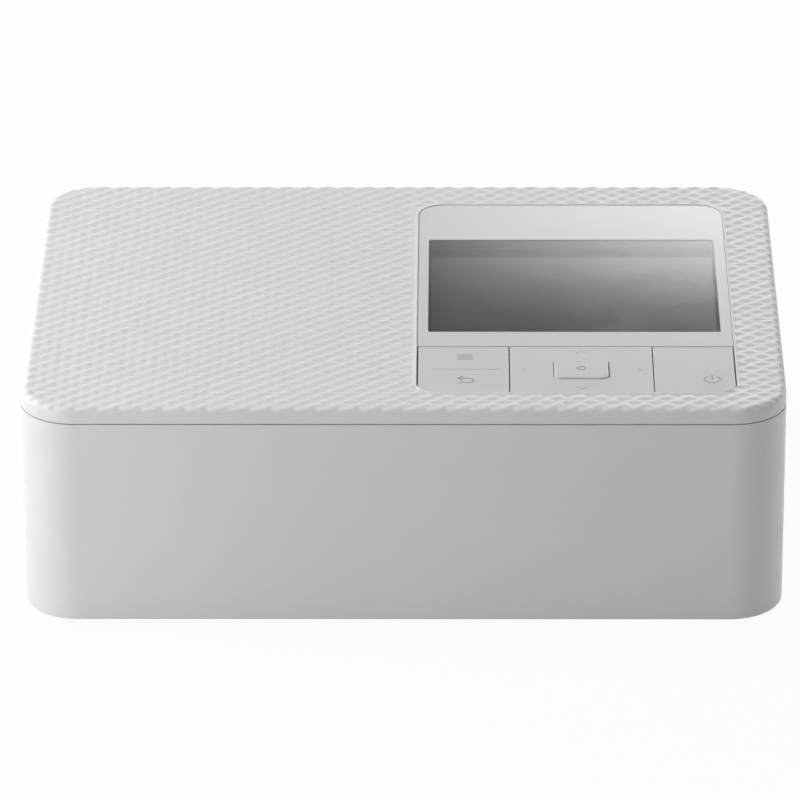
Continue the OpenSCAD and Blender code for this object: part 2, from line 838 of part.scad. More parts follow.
module lcd_module() color("darkslategray") {
    translate([0, 0, lcd_top - lcd_t]) linear_extrude(lcd_t) lcd_plan(0);
}

module lcd_frame() color(steel) {
    z = lcd_top - lcd_t - frame_t;
    difference() {
        translate([0, 0, z]) linear_extrude(frame_t + frame_lip) lcd_plan(frame_edge);
        translate([0, 0, z + frame_t]) linear_extrude(frame_lip + 1) lcd_plan(0);
        for (x = [window_x0 + 8, window_x1 - 8], y = [window_y0 + 8, window_y1 - 8]) {
            translate([x, y, z - 1]) cylinder(r = 2.5, h = frame_t + 2);
        }
    }
    // Feet that hold the frame off the board
    for (x = [window_x0 + 16, window_x1 - 16], y = [window_y0 + 8, window_y1 - 8]) {
        translate([x, y, pcb_top]) cylinder(r = 1.5, h = z - pcb_top);
    }
}

module key_carrier() color("lightgray") {
    difference() {
        translate([0, 0, carrier_z]) linear_extrude(carrier_t) intersection() {
            panel_plan(-fit);
            translate([panel_x0, panel_y0]) square([panel_w, key_d + carrier_back]);
        }
        for (x = [menu_x, power_x]) {
            translate([x, nav_y, carrier_z - 1]) cylinder(r = stem_hole_r, h = carrier_t + 2);
            for (s = [-1, 1]) translate([x + s * post_dx, nav_y, carrier_z - 1]) {
                cylinder(r = post_r + post_gap, h = carrier_t + 2);
            }
        }
        translate([nav_x, nav_y, carrier_z - 1]) cylinder(r = ring_out + ring_gap, h = carrier_t + 2);
        for (s = [-1, 1]) {
            translate([nav_x + s * pad_switch_x, nav_y, carrier_z - 1]) cylinder(r = stem_hole_r,
                h = carrier_t + 2);
            translate([nav_x, nav_y + s * pad_switch_y, carrier_z - 1]) cylinder(r = 1.4, h = carrier_t + 2);
        }
        trunnions(trunnion_r + trunnion_gap, trunnion_l + 0.2, [1, 0, 0]);
    }
}

// Pair of short pins on opposite sides of the ring, along the direction d
module trunnions(r, l, d) {
    for (s = [-1, 1]) translate([nav_x, nav_y, ring_z] + s * (ring_out - 0.2) * d) {
        rotate(d[0] == 1 ? [0, s * 90, 0] : [-s * 90, 0, 0]) cylinder(r = r, h = l);
    }
}

module nav_ring() color("lightgray") {
    difference() {
        union() {
            translate([nav_x, nav_y, ring_z - ring_t / 2]) cylinder(r = ring_out, h = ring_t);
            trunnions(trunnion_r, trunnion_l, [1, 0, 0]);
        }
        translate([nav_x, nav_y, ring_z - ring_t]) cylinder(r = ring_in, h = 2 * ring_t);
        translate([nav_x, nav_y + ring_out + 1, ring_z]) rotate([90, 0, 0]) {
            cylinder(r = trunnion_r + trunnion_gap, h = 2 * ring_out + 2);
        }
    }
}

module menu_key() color(glossy) plain_key(panel_x0, nav_x0, menu_x);

module power_key() color(glossy) plain_key(nav_x1, panel_x1, power_x);

// A key between x0 and x1: its plate, two guide posts and a middle stem
module plain_key(x0, x1, x) {
    g = key_gap;
    translate([0, 0, key_z]) linear_extrude(key_t) intersection() {
        panel_plan(-panel_gap);
        translate([x0 + g / 2, panel_y0]) square([x1 - x0 - g, key_d - key_back_gap]);
    }
    for (s = [-1, 1]) translate([x + s * post_dx, nav_y, carrier_z + 0.4]) cylinder(r = post_r,
        h = key_z - carrier_z);
    translate([x, nav_y, stem_z]) cylinder(r = stem_r, h = key_z - stem_z + eps);
}

module nav_pad() color(glossy) {
    g = key_gap;
    w = ok_w / 2 + ok_gap;
    d = ok_d / 2 + ok_gap;
    difference() {
        union() {
            box(nav_x0 + g / 2, nav_x1 - g / 2, panel_y0 + panel_gap, key_y1 - key_back_gap, key_z,
                key_top);
            translate([nav_x, nav_y, key_z - ok_collar_h]) linear_extrude(ok_collar_h + eps) {
                intersection() {
                    square([2 * (w + ok_collar), 2 * (d + ok_collar)], center = true);
                    circle(ring_in - 0.4);
                }
            }
            for (s = [-1, 1]) {
                translate([nav_x + s * pad_switch_x, nav_y, stem_z]) cylinder(r = stem_r,
                    h = key_z - stem_z + eps);
                translate([nav_x, nav_y + s * pad_switch_y, stem_z]) cylinder(r = 0.9,
                    h = key_z - stem_z + eps);
                translate([nav_x - lug_w / 2, nav_y + s * (ring_in - 0.4 - lug_t / 2) - lug_t / 2,
                    ring_z - 0.8]) {
                    cube([lug_w, lug_t, key_z - ring_z + 0.8 + eps]);
                }
                translate([nav_x, nav_y + s * (ring_in - 0.9), ring_z]) rotate([-s * 90, 0, 0]) {
                    cylinder(r = trunnion_r, h = ring_out - ring_in + 0.7);
                }
            }
        }
        translate([nav_x, nav_y, carrier_z]) linear_extrude(body_h) plan(-w, w, -d, d, ok_r + ok_gap,
            ok_r + ok_gap);
    }
}

module ok_key() color(glossy) {
    h = ok_rise + key_t + ok_collar_h - 0.2;
    translate([nav_x, nav_y, key_top + ok_rise - h]) linear_extrude(h) {
        plan(-ok_w / 2, ok_w / 2, -ok_d / 2, ok_d / 2, ok_r, ok_r);
    }
    translate([nav_x, nav_y, stem_z]) cylinder(r = stem_r, h = key_z - stem_z);
}

module panel_board() color("darkgreen") {
    difference() {
        box(panel_x0 - pcb_margin, panel_x1 + pcb_margin, pcb_y0, pcb_y1, pcb_z, pcb_top);
        for (x = boss_xs, y = boss_ys) translate([x, y, pcb_z - 1]) cylinder(r = screw_r + 0.1,
            h = board_t + 2);
        for (y = post_ys) translate([post_x, y, pcb_z - 1]) cylinder(r = case_post_r + 0.7, h = board_t + 2);
    }
}

module push_switches() color("black") {
    for (x = [menu_x, nav_x - pad_switch_x, nav_x, nav_x + pad_switch_x, power_x]) push_switch(x, nav_y,
        switch_w);
    for (s = [-1, 1]) push_switch(nav_x, nav_y + s * pad_switch_y, small_switch_w);
}

module push_switch(x, y, w) {
    translate([x - w / 2, y - w / 2, pcb_top]) cube([w, w, switch_base]);
    translate([x, y, pcb_top]) cylinder(r = plunger_r * min(1, w / 3), h = switch_base + plunger_h);
}

// ---- Chassis ----

module base_plate() color(steel) {
    difference() {
        box(-plate_x - plate_t, plate_x + plate_t, takeup[0] - 27, pivot[0] + 3, floor_z, base_z);
        for (x = bay_xs) box(x - 7, x + 7, platen_y - 26, platen_y + 16, floor_z - 1, base_z + 1);
    }
}

module chassis_section() {
    y0 = takeup[0] - 31;
    y1 = pivot[0] + 5;
    polygon([[y0, base_z], [y1, base_z], [y1, chassis_top], [takeup[0] - 12, chassis_top],
        [y0, pickup[1] + 12]]);
}

// Holes that both plates share
module shaft_holes() {
    translate(platen) circle(platen_shaft_r + bush_t);
    translate(feed) circle(feed_shaft_r + bush_t);
    translate(pinch) circle(pinch_shaft_r + run);
    translate(pickup) circle(pickup_shaft_r + run);
    translate(pivot) circle(pivot_r + run);
}

module chassis_left() color(steel) {
    along_x(-plate_x - plate_t, -plate_x) difference() {
        union() {
            chassis_section();
            translate([cam[0] - cam_tower / 2, base_z]) square([cam_tower,
                cam[1] + gear_plate_edge - base_z]);
        }
        shaft_holes();
        translate(takeup) circle(hub_r + run);
        translate(supply) circle(4);
        translate(cam) circle(cam_shaft_r + run);
        translate([tab_y - tab_d / 2 - 0.6, beam_z - 2.9]) square([tab_d + 1.2, beam_t + 3.1]);
    }
    bar(layer1 - 0.4, -plate_x - plate_t + eps, idler, stud_r);
}

module chassis_right() color(steel) {
    p = window_pad;
    along_x(plate_x, plate_x + plate_t) difference() {
        chassis_section();
        shaft_holes();
        translate([takeup[0] - shell_r - p, spool_z - shell_r - p]) {
            square([spool_gap + 2 * (shell_r + p), 2 * shell_r + p + 0.4]);
        }
        translate([platen_y - guide_dy - lobe_r - p, guide_z - lobe_r - 0.3]) {
            square([2 * (guide_dy + lobe_r + p), spool_z - guide_z]);
        }
    }
}

module gear_plate() color(steel) {
    y0 = ribbon[0] - ribbon_motor_r - 1.5;
    y1 = lift[0] + head_motor_r + 2.5;
    z0 = ribbon[1] - ribbon_motor_r - 2.5;
    z1 = cam[1] + gear_plate_edge;
    front_y = y0 + standoff_r + 2;
    back_y = y1 - standoff_r - 1;
    low_z = z0 + standoff_r + 1;
    corners = [[front_y, low_z], [front_y, chassis_top - 6], [back_y, low_z], [back_y, chassis_top - 9]];
    difference() {
        union() {
            box(gear_plate_x, gear_plate_x + gear_plate_t, y0, y1, z0, z1);
            for (c = corners) bar(gear_plate_x, -plate_x - plate_t, c, standoff_r);
        }
        for (c = [motor, ribbon, lift]) bar(gear_plate_x - 1, gear_plate_x + gear_plate_t + 1, c,
            motor_shaft_r + 0.5);
    }
}

module shaft_bushes() color("goldenrod") {
    for (s = [-1, 1]) {
        bush(s, platen, platen_shaft_r);
        bush(s, feed, feed_shaft_r);
    }
}

module bush(s, c, r) {
    x = s > 0 ? plate_x - bush_out : -plate_x - plate_t - bush_out;
    difference() {
        bar(x, x + plate_t + 2 * bush_out, c, r + bush_t);
        bar(x - 1, x + plate_t + 2 * bush_out + 1, c, r + run);
    }
}

module paper_guides() color(steel) {
    box(-plate_x, plate_x, platen_y + platen_r + 1.5, in_y - 2.3, guide_top - guide_t, guide_top);
    box(-plate_x, plate_x, pickup[0] + pickup_r + 2, feed[0] - feed_r - 1.2, guide_top - guide_t, guide_top);
}

// ---- Rollers and gears ----

module platen_rubber() color("black") {
    difference() {
        bar(-roller_x, roller_x, platen, platen_r);
        bar(-roller_x - 1, roller_x + 1, platen, platen_shaft_r);
    }
}

module platen_shaft() color(steel) bar(layer1 - 0.6, plate_x + plate_t + 1.4, platen, platen_shaft_r);

module platen_gear() color("ivory") gear(layer1, platen, feed_m, platen_teeth, 0, platen_shaft_r);

module feed_roller() color(steel) {
    bar(-roller_x, roller_x, feed, feed_r);
    bar(layer1 - 0.6, plate_x + plate_t + 1.4, feed, feed_shaft_r);
}

module feed_gear() color("ivory") gear(layer1, feed, feed_m, feed_teeth, feed_turn, feed_shaft_r);

module pinch_roller() color("black") {
    bar(-roller_x + 1, roller_x - 1, pinch, pinch_r);
    bar(-plate_x - plate_t, plate_x + plate_t, pinch, pinch_shaft_r);
}

module pickup_tyres() color("black") {
    for (x = [-pickup_x - pickup_w, pickup_x]) difference() {
        bar(x, x + pickup_w, pickup, pickup_r);
        bar(x - 1, x + pickup_w + 1, pickup, pickup_shaft_r);
    }
}

module pickup_shaft() color(steel) bar(-plate_x - plate_t, plate_x + plate_t, pickup, pickup_shaft_r);

module idler_gear() color("ivory") gear(layer1, idler, feed_m, idler_teeth, idler_turn, stud_r + run);

module feed_pinion() color("goldenrod") pinion(layer1, motor, feed_m, pinion_teeth, pinion_turn);

module ribbon_pinion() color("goldenrod") pinion(layer2, ribbon, small_m, small_teeth, ribbon_turn);

module head_pinion() color("goldenrod") pinion(layer2, lift, small_m, small_teeth, lift_turn);

module feed_motor() color(steel) motor_can(motor, feed_motor_r);

module ribbon_motor() color(steel) motor_can(ribbon, ribbon_motor_r);

module head_motor() color(steel) motor_can(lift, head_motor_r);

// ---- Print head ----

// Radius of the cam, t degrees round from where it rests on the arm
function cam_radius(t) = cam_base + cam_lift * (t < cam_turn ? t / cam_turn : (360 - t) / (360 - cam_turn));

module head_cam() color("ivory") {
    along_x(layer1, layer1 + gear_t) translate(cam) {
        polygon([for (t = [0:10:350]) cam_radius(t) * [cos(-90 - t), sin(-90 - t)]]);
    }
    gear(layer2, cam, small_m, cam_teeth, 0, cam_shaft_r);
    bar(layer2 - 0.5, -plate_x, cam, cam_shaft_r);
}

module head_arm() color(steel) {
    difference() {
        union() {
            box(-head_half - 2, head_half + 2, platen_y - head_d / 2 - 2, pivot[0], beam_z, beam_z + beam_t);
            bar(-tube_x, tube_x, pivot, tube_r);
        }
        for (x = bay_xs) box(x - 8, x + 8, tab_y + 3, pivot[0] - 6, beam_z - 1, beam_z + beam_t + 1);
    }
    bar(-plate_x - plate_t, plate_x + plate_t, pivot, pivot_r);
    box(layer1 - 0.4, -head_half, tab_y - tab_d / 2, tab_y + tab_d / 2, beam_z, beam_z + beam_t);
}

module heat_sink() color("darkgray") {
    z0 = head_z + head_t;
    difference() {
        box(-head_half, head_half, platen_y - head_d / 2, platen_y + head_d / 2, z0, beam_z);
        for (x = [-head_half + 3:5:head_half - 5]) {
            box(x, x + 3, platen_y - head_d, platen_y + head_d, z0 + 4, beam_z - 3);
        }
    }
}

module thermal_head() color("burlywood") {
    box(-head_half - 1, head_half + 1, platen_y - head_d / 2, platen_y + head_d / 2, head_z, head_z + head_t);
}

// ---- Ink cassette ----

module takeup_hub() color("ivory") {
    gear(layer2, takeup, small_m, takeup_teeth, 0, hub_r / 2);
    bar(layer2, -plate_x + hub_out, takeup, hub_r);
    bar(-plate_x + 0.1, -plate_x + hub_out, takeup, hub_r + hub_out);
    translate([-plate_x + hub_out - eps, takeup[0], takeup[1]]) rotate([0, 90, 0]) cylinder(r = hex_r,
        h = hex_l, $fn = 6);
}

module cheek_section() {
    translate(supply) circle(shell_r);
    translate(takeup) circle(shell_r);
    translate([takeup[0], spool_z - shell_r]) square([spool_gap, 2 * shell_r - cheek_drop]);
    for (s = [-1, 1]) {
        translate([platen_y + s * guide_dy, guide_z]) circle(lobe_r);
        translate([platen_y + s * guide_dy - lobe_r, guide_z]) square([2 * lobe_r,
            spool_z - shell_r - guide_z + eps]);
    }
}

// Section of one tube; its mouth lets the film out towards the platen
module tube_section(c, r, s) {
    difference() {
        translate(c) circle(shell_r);
        translate(c) circle(shell_r - shell_t);
        translate([mouth_y(c, r, s) - mouth / 2, c[1] - shell_r - 1]) square([mouth, shell_r]);
    }
}

module ink_cassette() color("gray") {
    difference() {
        union() {
            for (x = [-cheek_x - cheek_t, cheek_x]) along_x(x, x + cheek_t) cheek_section();
            along_x(-cheek_x - eps, cheek_x + eps) {
                tube_section(supply, supply_r, 1);
                tube_section(takeup, takeup_r, -1);
            }
            for (s = [-1, 1]) bar(-cheek_x - eps, cheek_x + eps, [platen_y + s * guide_dy, guide_z], guide_r);
            difference() {
                box(cheek_x, grip_x, platen_y - grip_half, platen_y + grip_half, spool_z - shell_r + grip_low,
                    spool_z + shell_r - grip_low);
                box(cheek_x + cheek_t, grip_x + 1, platen_y - grip_half + grip_wall,
                    platen_y + grip_half - grip_wall,
                    spool_z - shell_r + grip_low + grip_wall, spool_z + shell_r - grip_low - grip_wall);
            }
            box(grip_x - 6, grip_x - 4, platen_y - grip_half, platen_y + grip_half, spool_z - 1.2,
                spool_z + 1.2);
            box(lever[0] + kicker_w / 2 + kick_gap, lever[0] + kicker_w / 2 + kick_gap + tab_w,
                lever[1] + kicker_l / 2, platen_y - grip_half + eps, lever_z, lever_z + lever_t);
        }
        for (c = [supply, takeup]) bar(-cheek_x - cheek_t - 1, -cheek_x + 1, c, journal_r + run);
        for (c = [supply, takeup]) bar(cheek_x - 1, cheek_x + cheek_t + 1, c, journal_r + run);
    }
}

// Core with its wound film, two flanges and two journals
module spool(c, roll_r) {
    x = cheek_x - spool_in;
    bar(-x, x, c, roll_r);
    for (f = [-x, x - 0.8]) bar(f, f + 0.8, c, flange_r);
    bar(-cheek_x - cheek_t, cheek_x + cheek_t, c, journal_r);
}

module takeup_spool() color("black") {
    difference() {
        spool(takeup, takeup_r);
        translate([-cheek_x - cheek_t - 1, takeup[0], takeup[1]]) rotate([0, 90, 0]) {
            cylinder(r = hex_r + hex_gap, h = hex_l + 4, $fn = 6);
        }
    }
}

module supply_spool() color("indigo") {
    difference() {
        spool(supply, supply_r);
        bar(-cheek_x - cheek_t - 1, -cheek_x + 6, supply, hex_r);
    }
}

module ribbon_film() color("goldenrod") {
    path = [film_top(takeup, takeup_r, -1), film_low(-1), film_low(1), film_top(supply, supply_r, 1)];
    along_x(-film_half, film_half) {
        for (i = [0:2]) {
            a = path[i];
            b = path[i + 1];
            n = film_t * [a[1] - b[1], b[0] - a[0]] / norm(b - a);
            polygon([a, b, b + n, a + n]);
        }
        for (i = [1, 2]) translate(path[i]) circle(film_t, $fn = 16);
    }
}

module eject_lever() color("steelblue") {
    translate([lever[0], lever[1], lever_z]) difference() {
        union() {
            cylinder(r = lever_r + 0.5, h = lever_t);
            translate([-kicker_w / 2, 0, 0]) cube([kicker_w, kicker_l, lever_t]);
            translate([0, -handle_w / 2, 0]) cube([handle_l, handle_w, lever_t]);
        }
        translate([0, 0, -1]) cylinder(r = lever_pin_r + run, h = lever_t + 2);
    }
}

// ---- Boards and sockets ----

module main_board() color("darkgreen") {
    box(-main_half, main_half, main_y, main_y + board_t, main_z0, main_z1);
}

module board_chips() color("black") {
    y = main_y + board_t;
    box(main_half - 52, main_half - 40, y, y + 1.4, main_z0 + 3, main_z1 - 2.5);
    box(main_half - 36, main_half - 28, y, y + 1.1, main_z0 + 4, main_z1 - 5.5);
    box(port_x + 7, port_x + 14, y, y + 1.2, main_z0 + 2, main_z1 - 8.5);
    box(cable_x + cable_w + 3, main_half - 2, y, y + 2.2, main_z0 + 2, main_z1 - 4.5);
    for (x = [inlet_x - 9, inlet_x + 10]) translate([x, y, main_z0 + 4]) rotate([-90, 0, 0]) {
        cylinder(r = can_r, h = can_h);
    }
}

module power_inlet() color("black") {
    difference() {
        union() {
            translate([inlet_x, main_y + board_t, inlet_z]) rotate([-90, 0, 0]) {
                cylinder(r = inlet_r, h = half_d - 0.4 - main_y - board_t);
            }
            box(inlet_x - 4.5, inlet_x + 4.5, main_y + board_t, in_y - 0.4, inlet_z - 5.2, inlet_z + 5.2);
        }
        translate([inlet_x, main_y + board_t + 2, inlet_z]) rotate([-90, 0, 0]) cylinder(r = inlet_r - 1.3,
            h = 20);
    }
    translate([inlet_x, main_y + board_t + 1.9, inlet_z]) rotate([-90, 0, 0]) cylinder(r = 0.8, h = 7);
}

module usb_socket() color(steel) {
    y = main_y + board_t;
    r = port_h / 2;
    difference() {
        socket_shell(r, y, half_d - 0.5 - y);
        socket_shell(r - 0.3, y + 2, 20);
    }
    box(port_x - 3.3, port_x + 3.3, y + 1.9, half_d - 1.4, inlet_z - 0.35, inlet_z + 0.35);
}

module socket_shell(r, y, l) {
    d = port_w / 2 - port_h / 2;
    for (s = [-1, 1]) translate([port_x + s * d, y, inlet_z]) rotate([-90, 0, 0]) cylinder(r = r, h = l);
    box(port_x - d, port_x + d, y, y + l, inlet_z - r, inlet_z + r);
}

module card_board() color("darkgreen") {
    box(card_x0, in_x - card_end, card_y - card_w / 2 - card_edge, card_y + card_w / 2 + card_edge, card_z,
        card_z + board_t);
}

module card_socket() color(steel) {
    z = card_z + board_t;
    x = card_x0 - card_over;
    difference() {
        box(x, half_w - 0.6, card_y - card_w / 2, card_y + card_w / 2, z, z + card_h);
        box(x + 1, half_w, card_y - card_w / 2 + 0.3, card_y + card_w / 2 - 0.3, z + 0.5, z + card_h - 0.3);
    }
}

module flat_cable() color("ivory") {
    y = main_y + board_t;
    box(cable_x, cable_x + cable_w, y, y + cable_t, main_z1 - 4, pcb_z);
    box(cable_x, cable_x + cable_w, pcb_y1 - 4, y + cable_t, pcb_z - cable_t, pcb_z);
}

bottom_case();
top_cover();
front_cover();
front_hinge_pins();
ink_door();
rubber_feet();
screws();
display_panel();
display_window();
lcd_module();
lcd_frame();
key_carrier();
menu_key();
nav_ring();
nav_pad();
ok_key();
power_key();
panel_board();
push_switches();
base_plate();
chassis_left();
chassis_right();
gear_plate();
shaft_bushes();
paper_guides();
platen_rubber();
platen_shaft();
platen_gear();
feed_roller();
feed_gear();
pinch_roller();
pickup_tyres();
pickup_shaft();
idler_gear();
feed_pinion();
feed_motor();
ribbon_pinion();
ribbon_motor();
head_pinion();
head_motor();
head_cam();
head_arm();
heat_sink();
thermal_head();
takeup_hub();
ink_cassette();
takeup_spool();
supply_spool();
ribbon_film();
eject_lever();
main_board();
board_chips();
power_inlet();
usb_socket();
card_board();
card_socket();
flat_cable();
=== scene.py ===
"""The finishes, patterned lid, eased keys, printed marks and studio of a compact photo printer."""
import math

import bmesh
import bpy
from mathutils import Matrix, Vector


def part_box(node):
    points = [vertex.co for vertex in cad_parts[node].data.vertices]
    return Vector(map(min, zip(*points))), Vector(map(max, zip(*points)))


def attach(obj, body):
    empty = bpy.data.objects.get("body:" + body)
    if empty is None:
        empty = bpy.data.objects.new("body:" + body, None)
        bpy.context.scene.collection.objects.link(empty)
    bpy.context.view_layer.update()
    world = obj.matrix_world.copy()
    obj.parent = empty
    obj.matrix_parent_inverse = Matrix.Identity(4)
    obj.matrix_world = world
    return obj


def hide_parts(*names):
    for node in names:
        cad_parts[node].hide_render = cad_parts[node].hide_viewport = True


MM = 0.001
LID_CORNER = 13 * MM      # radius of the body's upright corners
LID_EDGE = 1.5 * MM       # radius of the round along the lid's top edge
LENS = 0.5 * MM           # thickness of the display's clear lens
INK = 0.03                # how far a printed mark stands above its key, in millimetres

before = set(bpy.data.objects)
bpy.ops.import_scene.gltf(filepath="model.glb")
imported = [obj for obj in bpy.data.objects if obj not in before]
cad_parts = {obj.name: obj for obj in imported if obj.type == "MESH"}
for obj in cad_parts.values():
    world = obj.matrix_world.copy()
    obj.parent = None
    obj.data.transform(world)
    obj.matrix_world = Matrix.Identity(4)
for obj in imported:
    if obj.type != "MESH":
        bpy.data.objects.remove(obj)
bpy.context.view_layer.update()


# ---------------------------------------------------------------- helpers for meshes

def keep(mesh, name, body, slot, *nodes, finish=None):
    """Puts a finished mesh in the scene as a piece that rides on a body and stands for its CAD nodes."""
    piece = bpy.data.objects.new(name, mesh)
    bpy.context.scene.collection.objects.link(piece)
    mesh.materials.clear()
    mesh.materials.append(finish or finishes[slot])
    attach(piece, body)
    if nodes:
        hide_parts(*nodes)
    return piece


def loose(mesh, name):
    """A helper object that carries modifiers and is thrown away once its mesh is taken."""
    helper = bpy.data.objects.new(name, mesh)
    bpy.context.scene.collection.objects.link(helper)
    return helper


def taken(helper, name):
    """The mesh of a helper with its modifiers applied."""
    seen = helper.evaluated_get(bpy.context.evaluated_depsgraph_get())
    mesh = bpy.data.meshes.new_from_object(seen)
    mesh.name = name
    bpy.data.objects.remove(helper)
    return mesh


def welded(node, same_place=0.002 * MM, flat_angle=0.4):
    """A copy of a CAD node's mesh with its loose triangles merged and its flat faces made whole."""
    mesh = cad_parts[node].data.copy()
    if "custom_normal" in mesh.attributes:
        mesh.attributes.remove(mesh.attributes["custom_normal"])
    shell = bmesh.new()
    shell.from_mesh(mesh)
    bmesh.ops.remove_doubles(shell, verts=shell.verts, dist=same_place)
    bmesh.ops.dissolve_limit(shell, angle_limit=math.radians(flat_angle), verts=shell.verts,
                             edges=shell.edges)
    shell.to_mesh(mesh)
    shell.free()
    return mesh


def smoothed(mesh, angle=32):
    """Smooth shading that leaves wide faces flat, with a crease where faces meet at more than the angle."""
    mesh.shade_smooth()
    mesh.set_sharp_from_angle(angle=math.radians(angle))
    helper = loose(mesh, mesh.name)
    weighted = helper.modifiers.new("flat_faces", "WEIGHTED_NORMAL")
    weighted.keep_sharp = True
    weighted.weight = 100
    return taken(helper, mesh.name)


def rounded(mesh, radius, where=None, steps=3, angle=35):
    """A mesh with a small radius, in millimetres, on its sharp outer edges."""
    shell = bmesh.new()
    shell.from_mesh(mesh)
    sharp = [edge for edge in shell.edges if edge.is_convex and edge.calc_face_angle(0) > math.radians(angle)
             and (where is None or all(where(corner.co) for corner in edge.verts))]
    bmesh.ops.bevel(shell, geom=sharp, offset=radius * MM, offset_type="OFFSET", segments=steps, profile=0.5,
                    affect="EDGES", clamp_overlap=True)
    shell.to_mesh(mesh)
    shell.free()
    return mesh


# ---------------------------------------------------------------- helpers for node trees and materials

class Wiring:
    """A node tree under construction."""

    def fill(self, socket, value):
        """Links an output to a socket, or sets the socket to a number or a colour."""
        if isinstance(value, bpy.types.NodeSocket):
            self.tree.links.new(value, socket)
        else:
            socket.default_value = value


class Finish(Wiring):
    """A material under construction: a surface shader, the place on the piece and the nodes between them."""

    def __init__(self, name, **surface):
        self.material = bpy.data.materials.new(name)
        self.material.use_nodes = True
        self.tree = self.material.node_tree
        self.tree.nodes.clear()
        self.surface = self.add("ShaderNodeBsdfPrincipled", **surface)
        output = self.add("ShaderNodeOutputMaterial")
        self.tree.links.new(self.surface.outputs["BSDF"], output.inputs["Surface"])
        self.place = self.add("ShaderNodeTexCoord").outputs["Object"]
        self.normal = None

    def add(self, kind, **inputs):
        """A node with its sockets filled: a number or colour is set, an output is linked."""
        node = self.tree.nodes.new(kind)
        for words, value in inputs.items():
            self.fill(node.inputs[words.replace("_", " ")], value)
        return node

    def noise(self, size_mm, detail=2.0, stretch=(1, 1, 1), warp=0.0):
        """Cloudy variation whose blotches are about size_mm across."""
        place = self.place
        if stretch != (1, 1, 1):
            place = self.add("ShaderNodeMapping", Vector=place, Scale=stretch).outputs[0]
        return self.add("ShaderNodeTexNoise", Vector=place, Scale=1 / (size_mm * MM), Detail=detail,
                        Distortion=warp).outputs["Fac"]

    def between(self, factor, low, high, start=0.3, end=0.7):
        """A number that goes from low to high as the factor goes from start to end."""
        node = self.add("ShaderNodeMapRange", Value=factor)
        for name, value in (("From Min", start), ("From Max", end), ("To Min", low), ("To Max", high)):
            node.inputs[name].default_value = value
        return node.outputs["Result"]

    def blend(self, factor, one, other):
        """A colour between two colours."""
        node = self.tree.nodes.new("ShaderNodeMix")
        node.data_type = "RGBA"
        self.fill(node.inputs[0], factor)
        for socket, value in ((node.inputs[6], one), (node.inputs[7], other)):
            self.fill(socket, value if isinstance(value, bpy.types.NodeSocket) else (*value, 1.0))
        return node.outputs[2]

    def colour(self, value):
        self.fill(self.surface.inputs["Base Color"], value)

    def roughness(self, value):
        self.fill(self.surface.inputs["Roughness"], value)

    def relief(self, height, depth_mm, strength=1.0):
        """Bump from a height, on top of the bumps before it."""
        bump = self.add("ShaderNodeBump", Height=height, Strength=strength, Distance=depth_mm * MM)
        if self.normal:
            self.tree.links.new(self.normal, bump.inputs["Normal"])
        self.normal = bump.outputs["Normal"]
        self.fill(self.surface.inputs["Normal"], self.normal)


def shade(colour, factor):
    """A colour made lighter or darker by a factor."""
    return tuple(min(1.0, c * factor) for c in colour)


def moulded(name, colour, low, high, grain_mm=0.35, grain_depth=0.004, tone=0.03, **surface):
    """Moulded plastic: a fine spark-eroded grain, faint flow tones and a patchy sheen."""
    finish = Finish(name, **surface)
    flow = finish.noise(38, 3, warp=0.6)
    speck = finish.noise(1.1, 2)
    tint = finish.blend(finish.between(flow, 0, 1), shade(colour, 1 - tone), shade(colour, 1 + tone))
    finish.colour(finish.blend(finish.between(speck, 0, 0.35), tint, shade(colour, 1 - 1.5 * tone)))
    finish.roughness(finish.between(finish.noise(9, 3), low, high))
    finish.relief(finish.noise(grain_mm, 3), grain_depth)
    return finish.material


def metal(name, colour, low, high, stretch, line_mm=0.6, line_depth=0.004, tone=0.06):
    """Rolled or turned metal: fine lines along one way, cloudy plating and a few darker patches."""
    finish = Finish(name, Metallic=1.0)
    lines = finish.noise(line_mm, 3, stretch=stretch)
    cloud = finish.noise(14, 4, warp=0.8)
    tint = finish.blend(finish.between(cloud, 0, 1), shade(colour, 1 - tone), shade(colour, 1 + tone))
    finish.colour(finish.blend(finish.between(lines, 0, 0.3), tint, shade(colour, 1 - 2 * tone)))
    finish.roughness(finish.between(cloud, low, high))
    finish.relief(lines, line_depth)
    return finish.material


def rubber_finish():
    """Black rubber with a dull, dusty skin."""
    finish = Finish("soft_rubber", Specular_IOR_Level=0.35)
    dust = finish.noise(2.2, 4)
    finish.colour(finish.blend(finish.between(dust, 0, 1), (0.022, 0.022, 0.023), (0.05, 0.049, 0.047)))
    finish.roughness(finish.between(finish.noise(0.8, 3), 0.72, 0.92))
    finish.relief(finish.noise(0.25, 3), 0.01)
    return finish.material


def window_finish():
    """Clear hard-coated acrylic over the display."""
    finish = Finish("clear_window", IOR=1.49, Transmission_Weight=1.0, Specular_IOR_Level=0.38)
    wipe = finish.noise(16, 3, warp=1.0)
    finish.colour(finish.blend(finish.between(wipe, 0, 1), (0.93, 0.94, 0.94), (0.97, 0.97, 0.97)))
    finish.roughness(finish.between(wipe, 0.05, 0.07))
    finish.relief(finish.noise(24, 2), 0.003)
    return finish.material


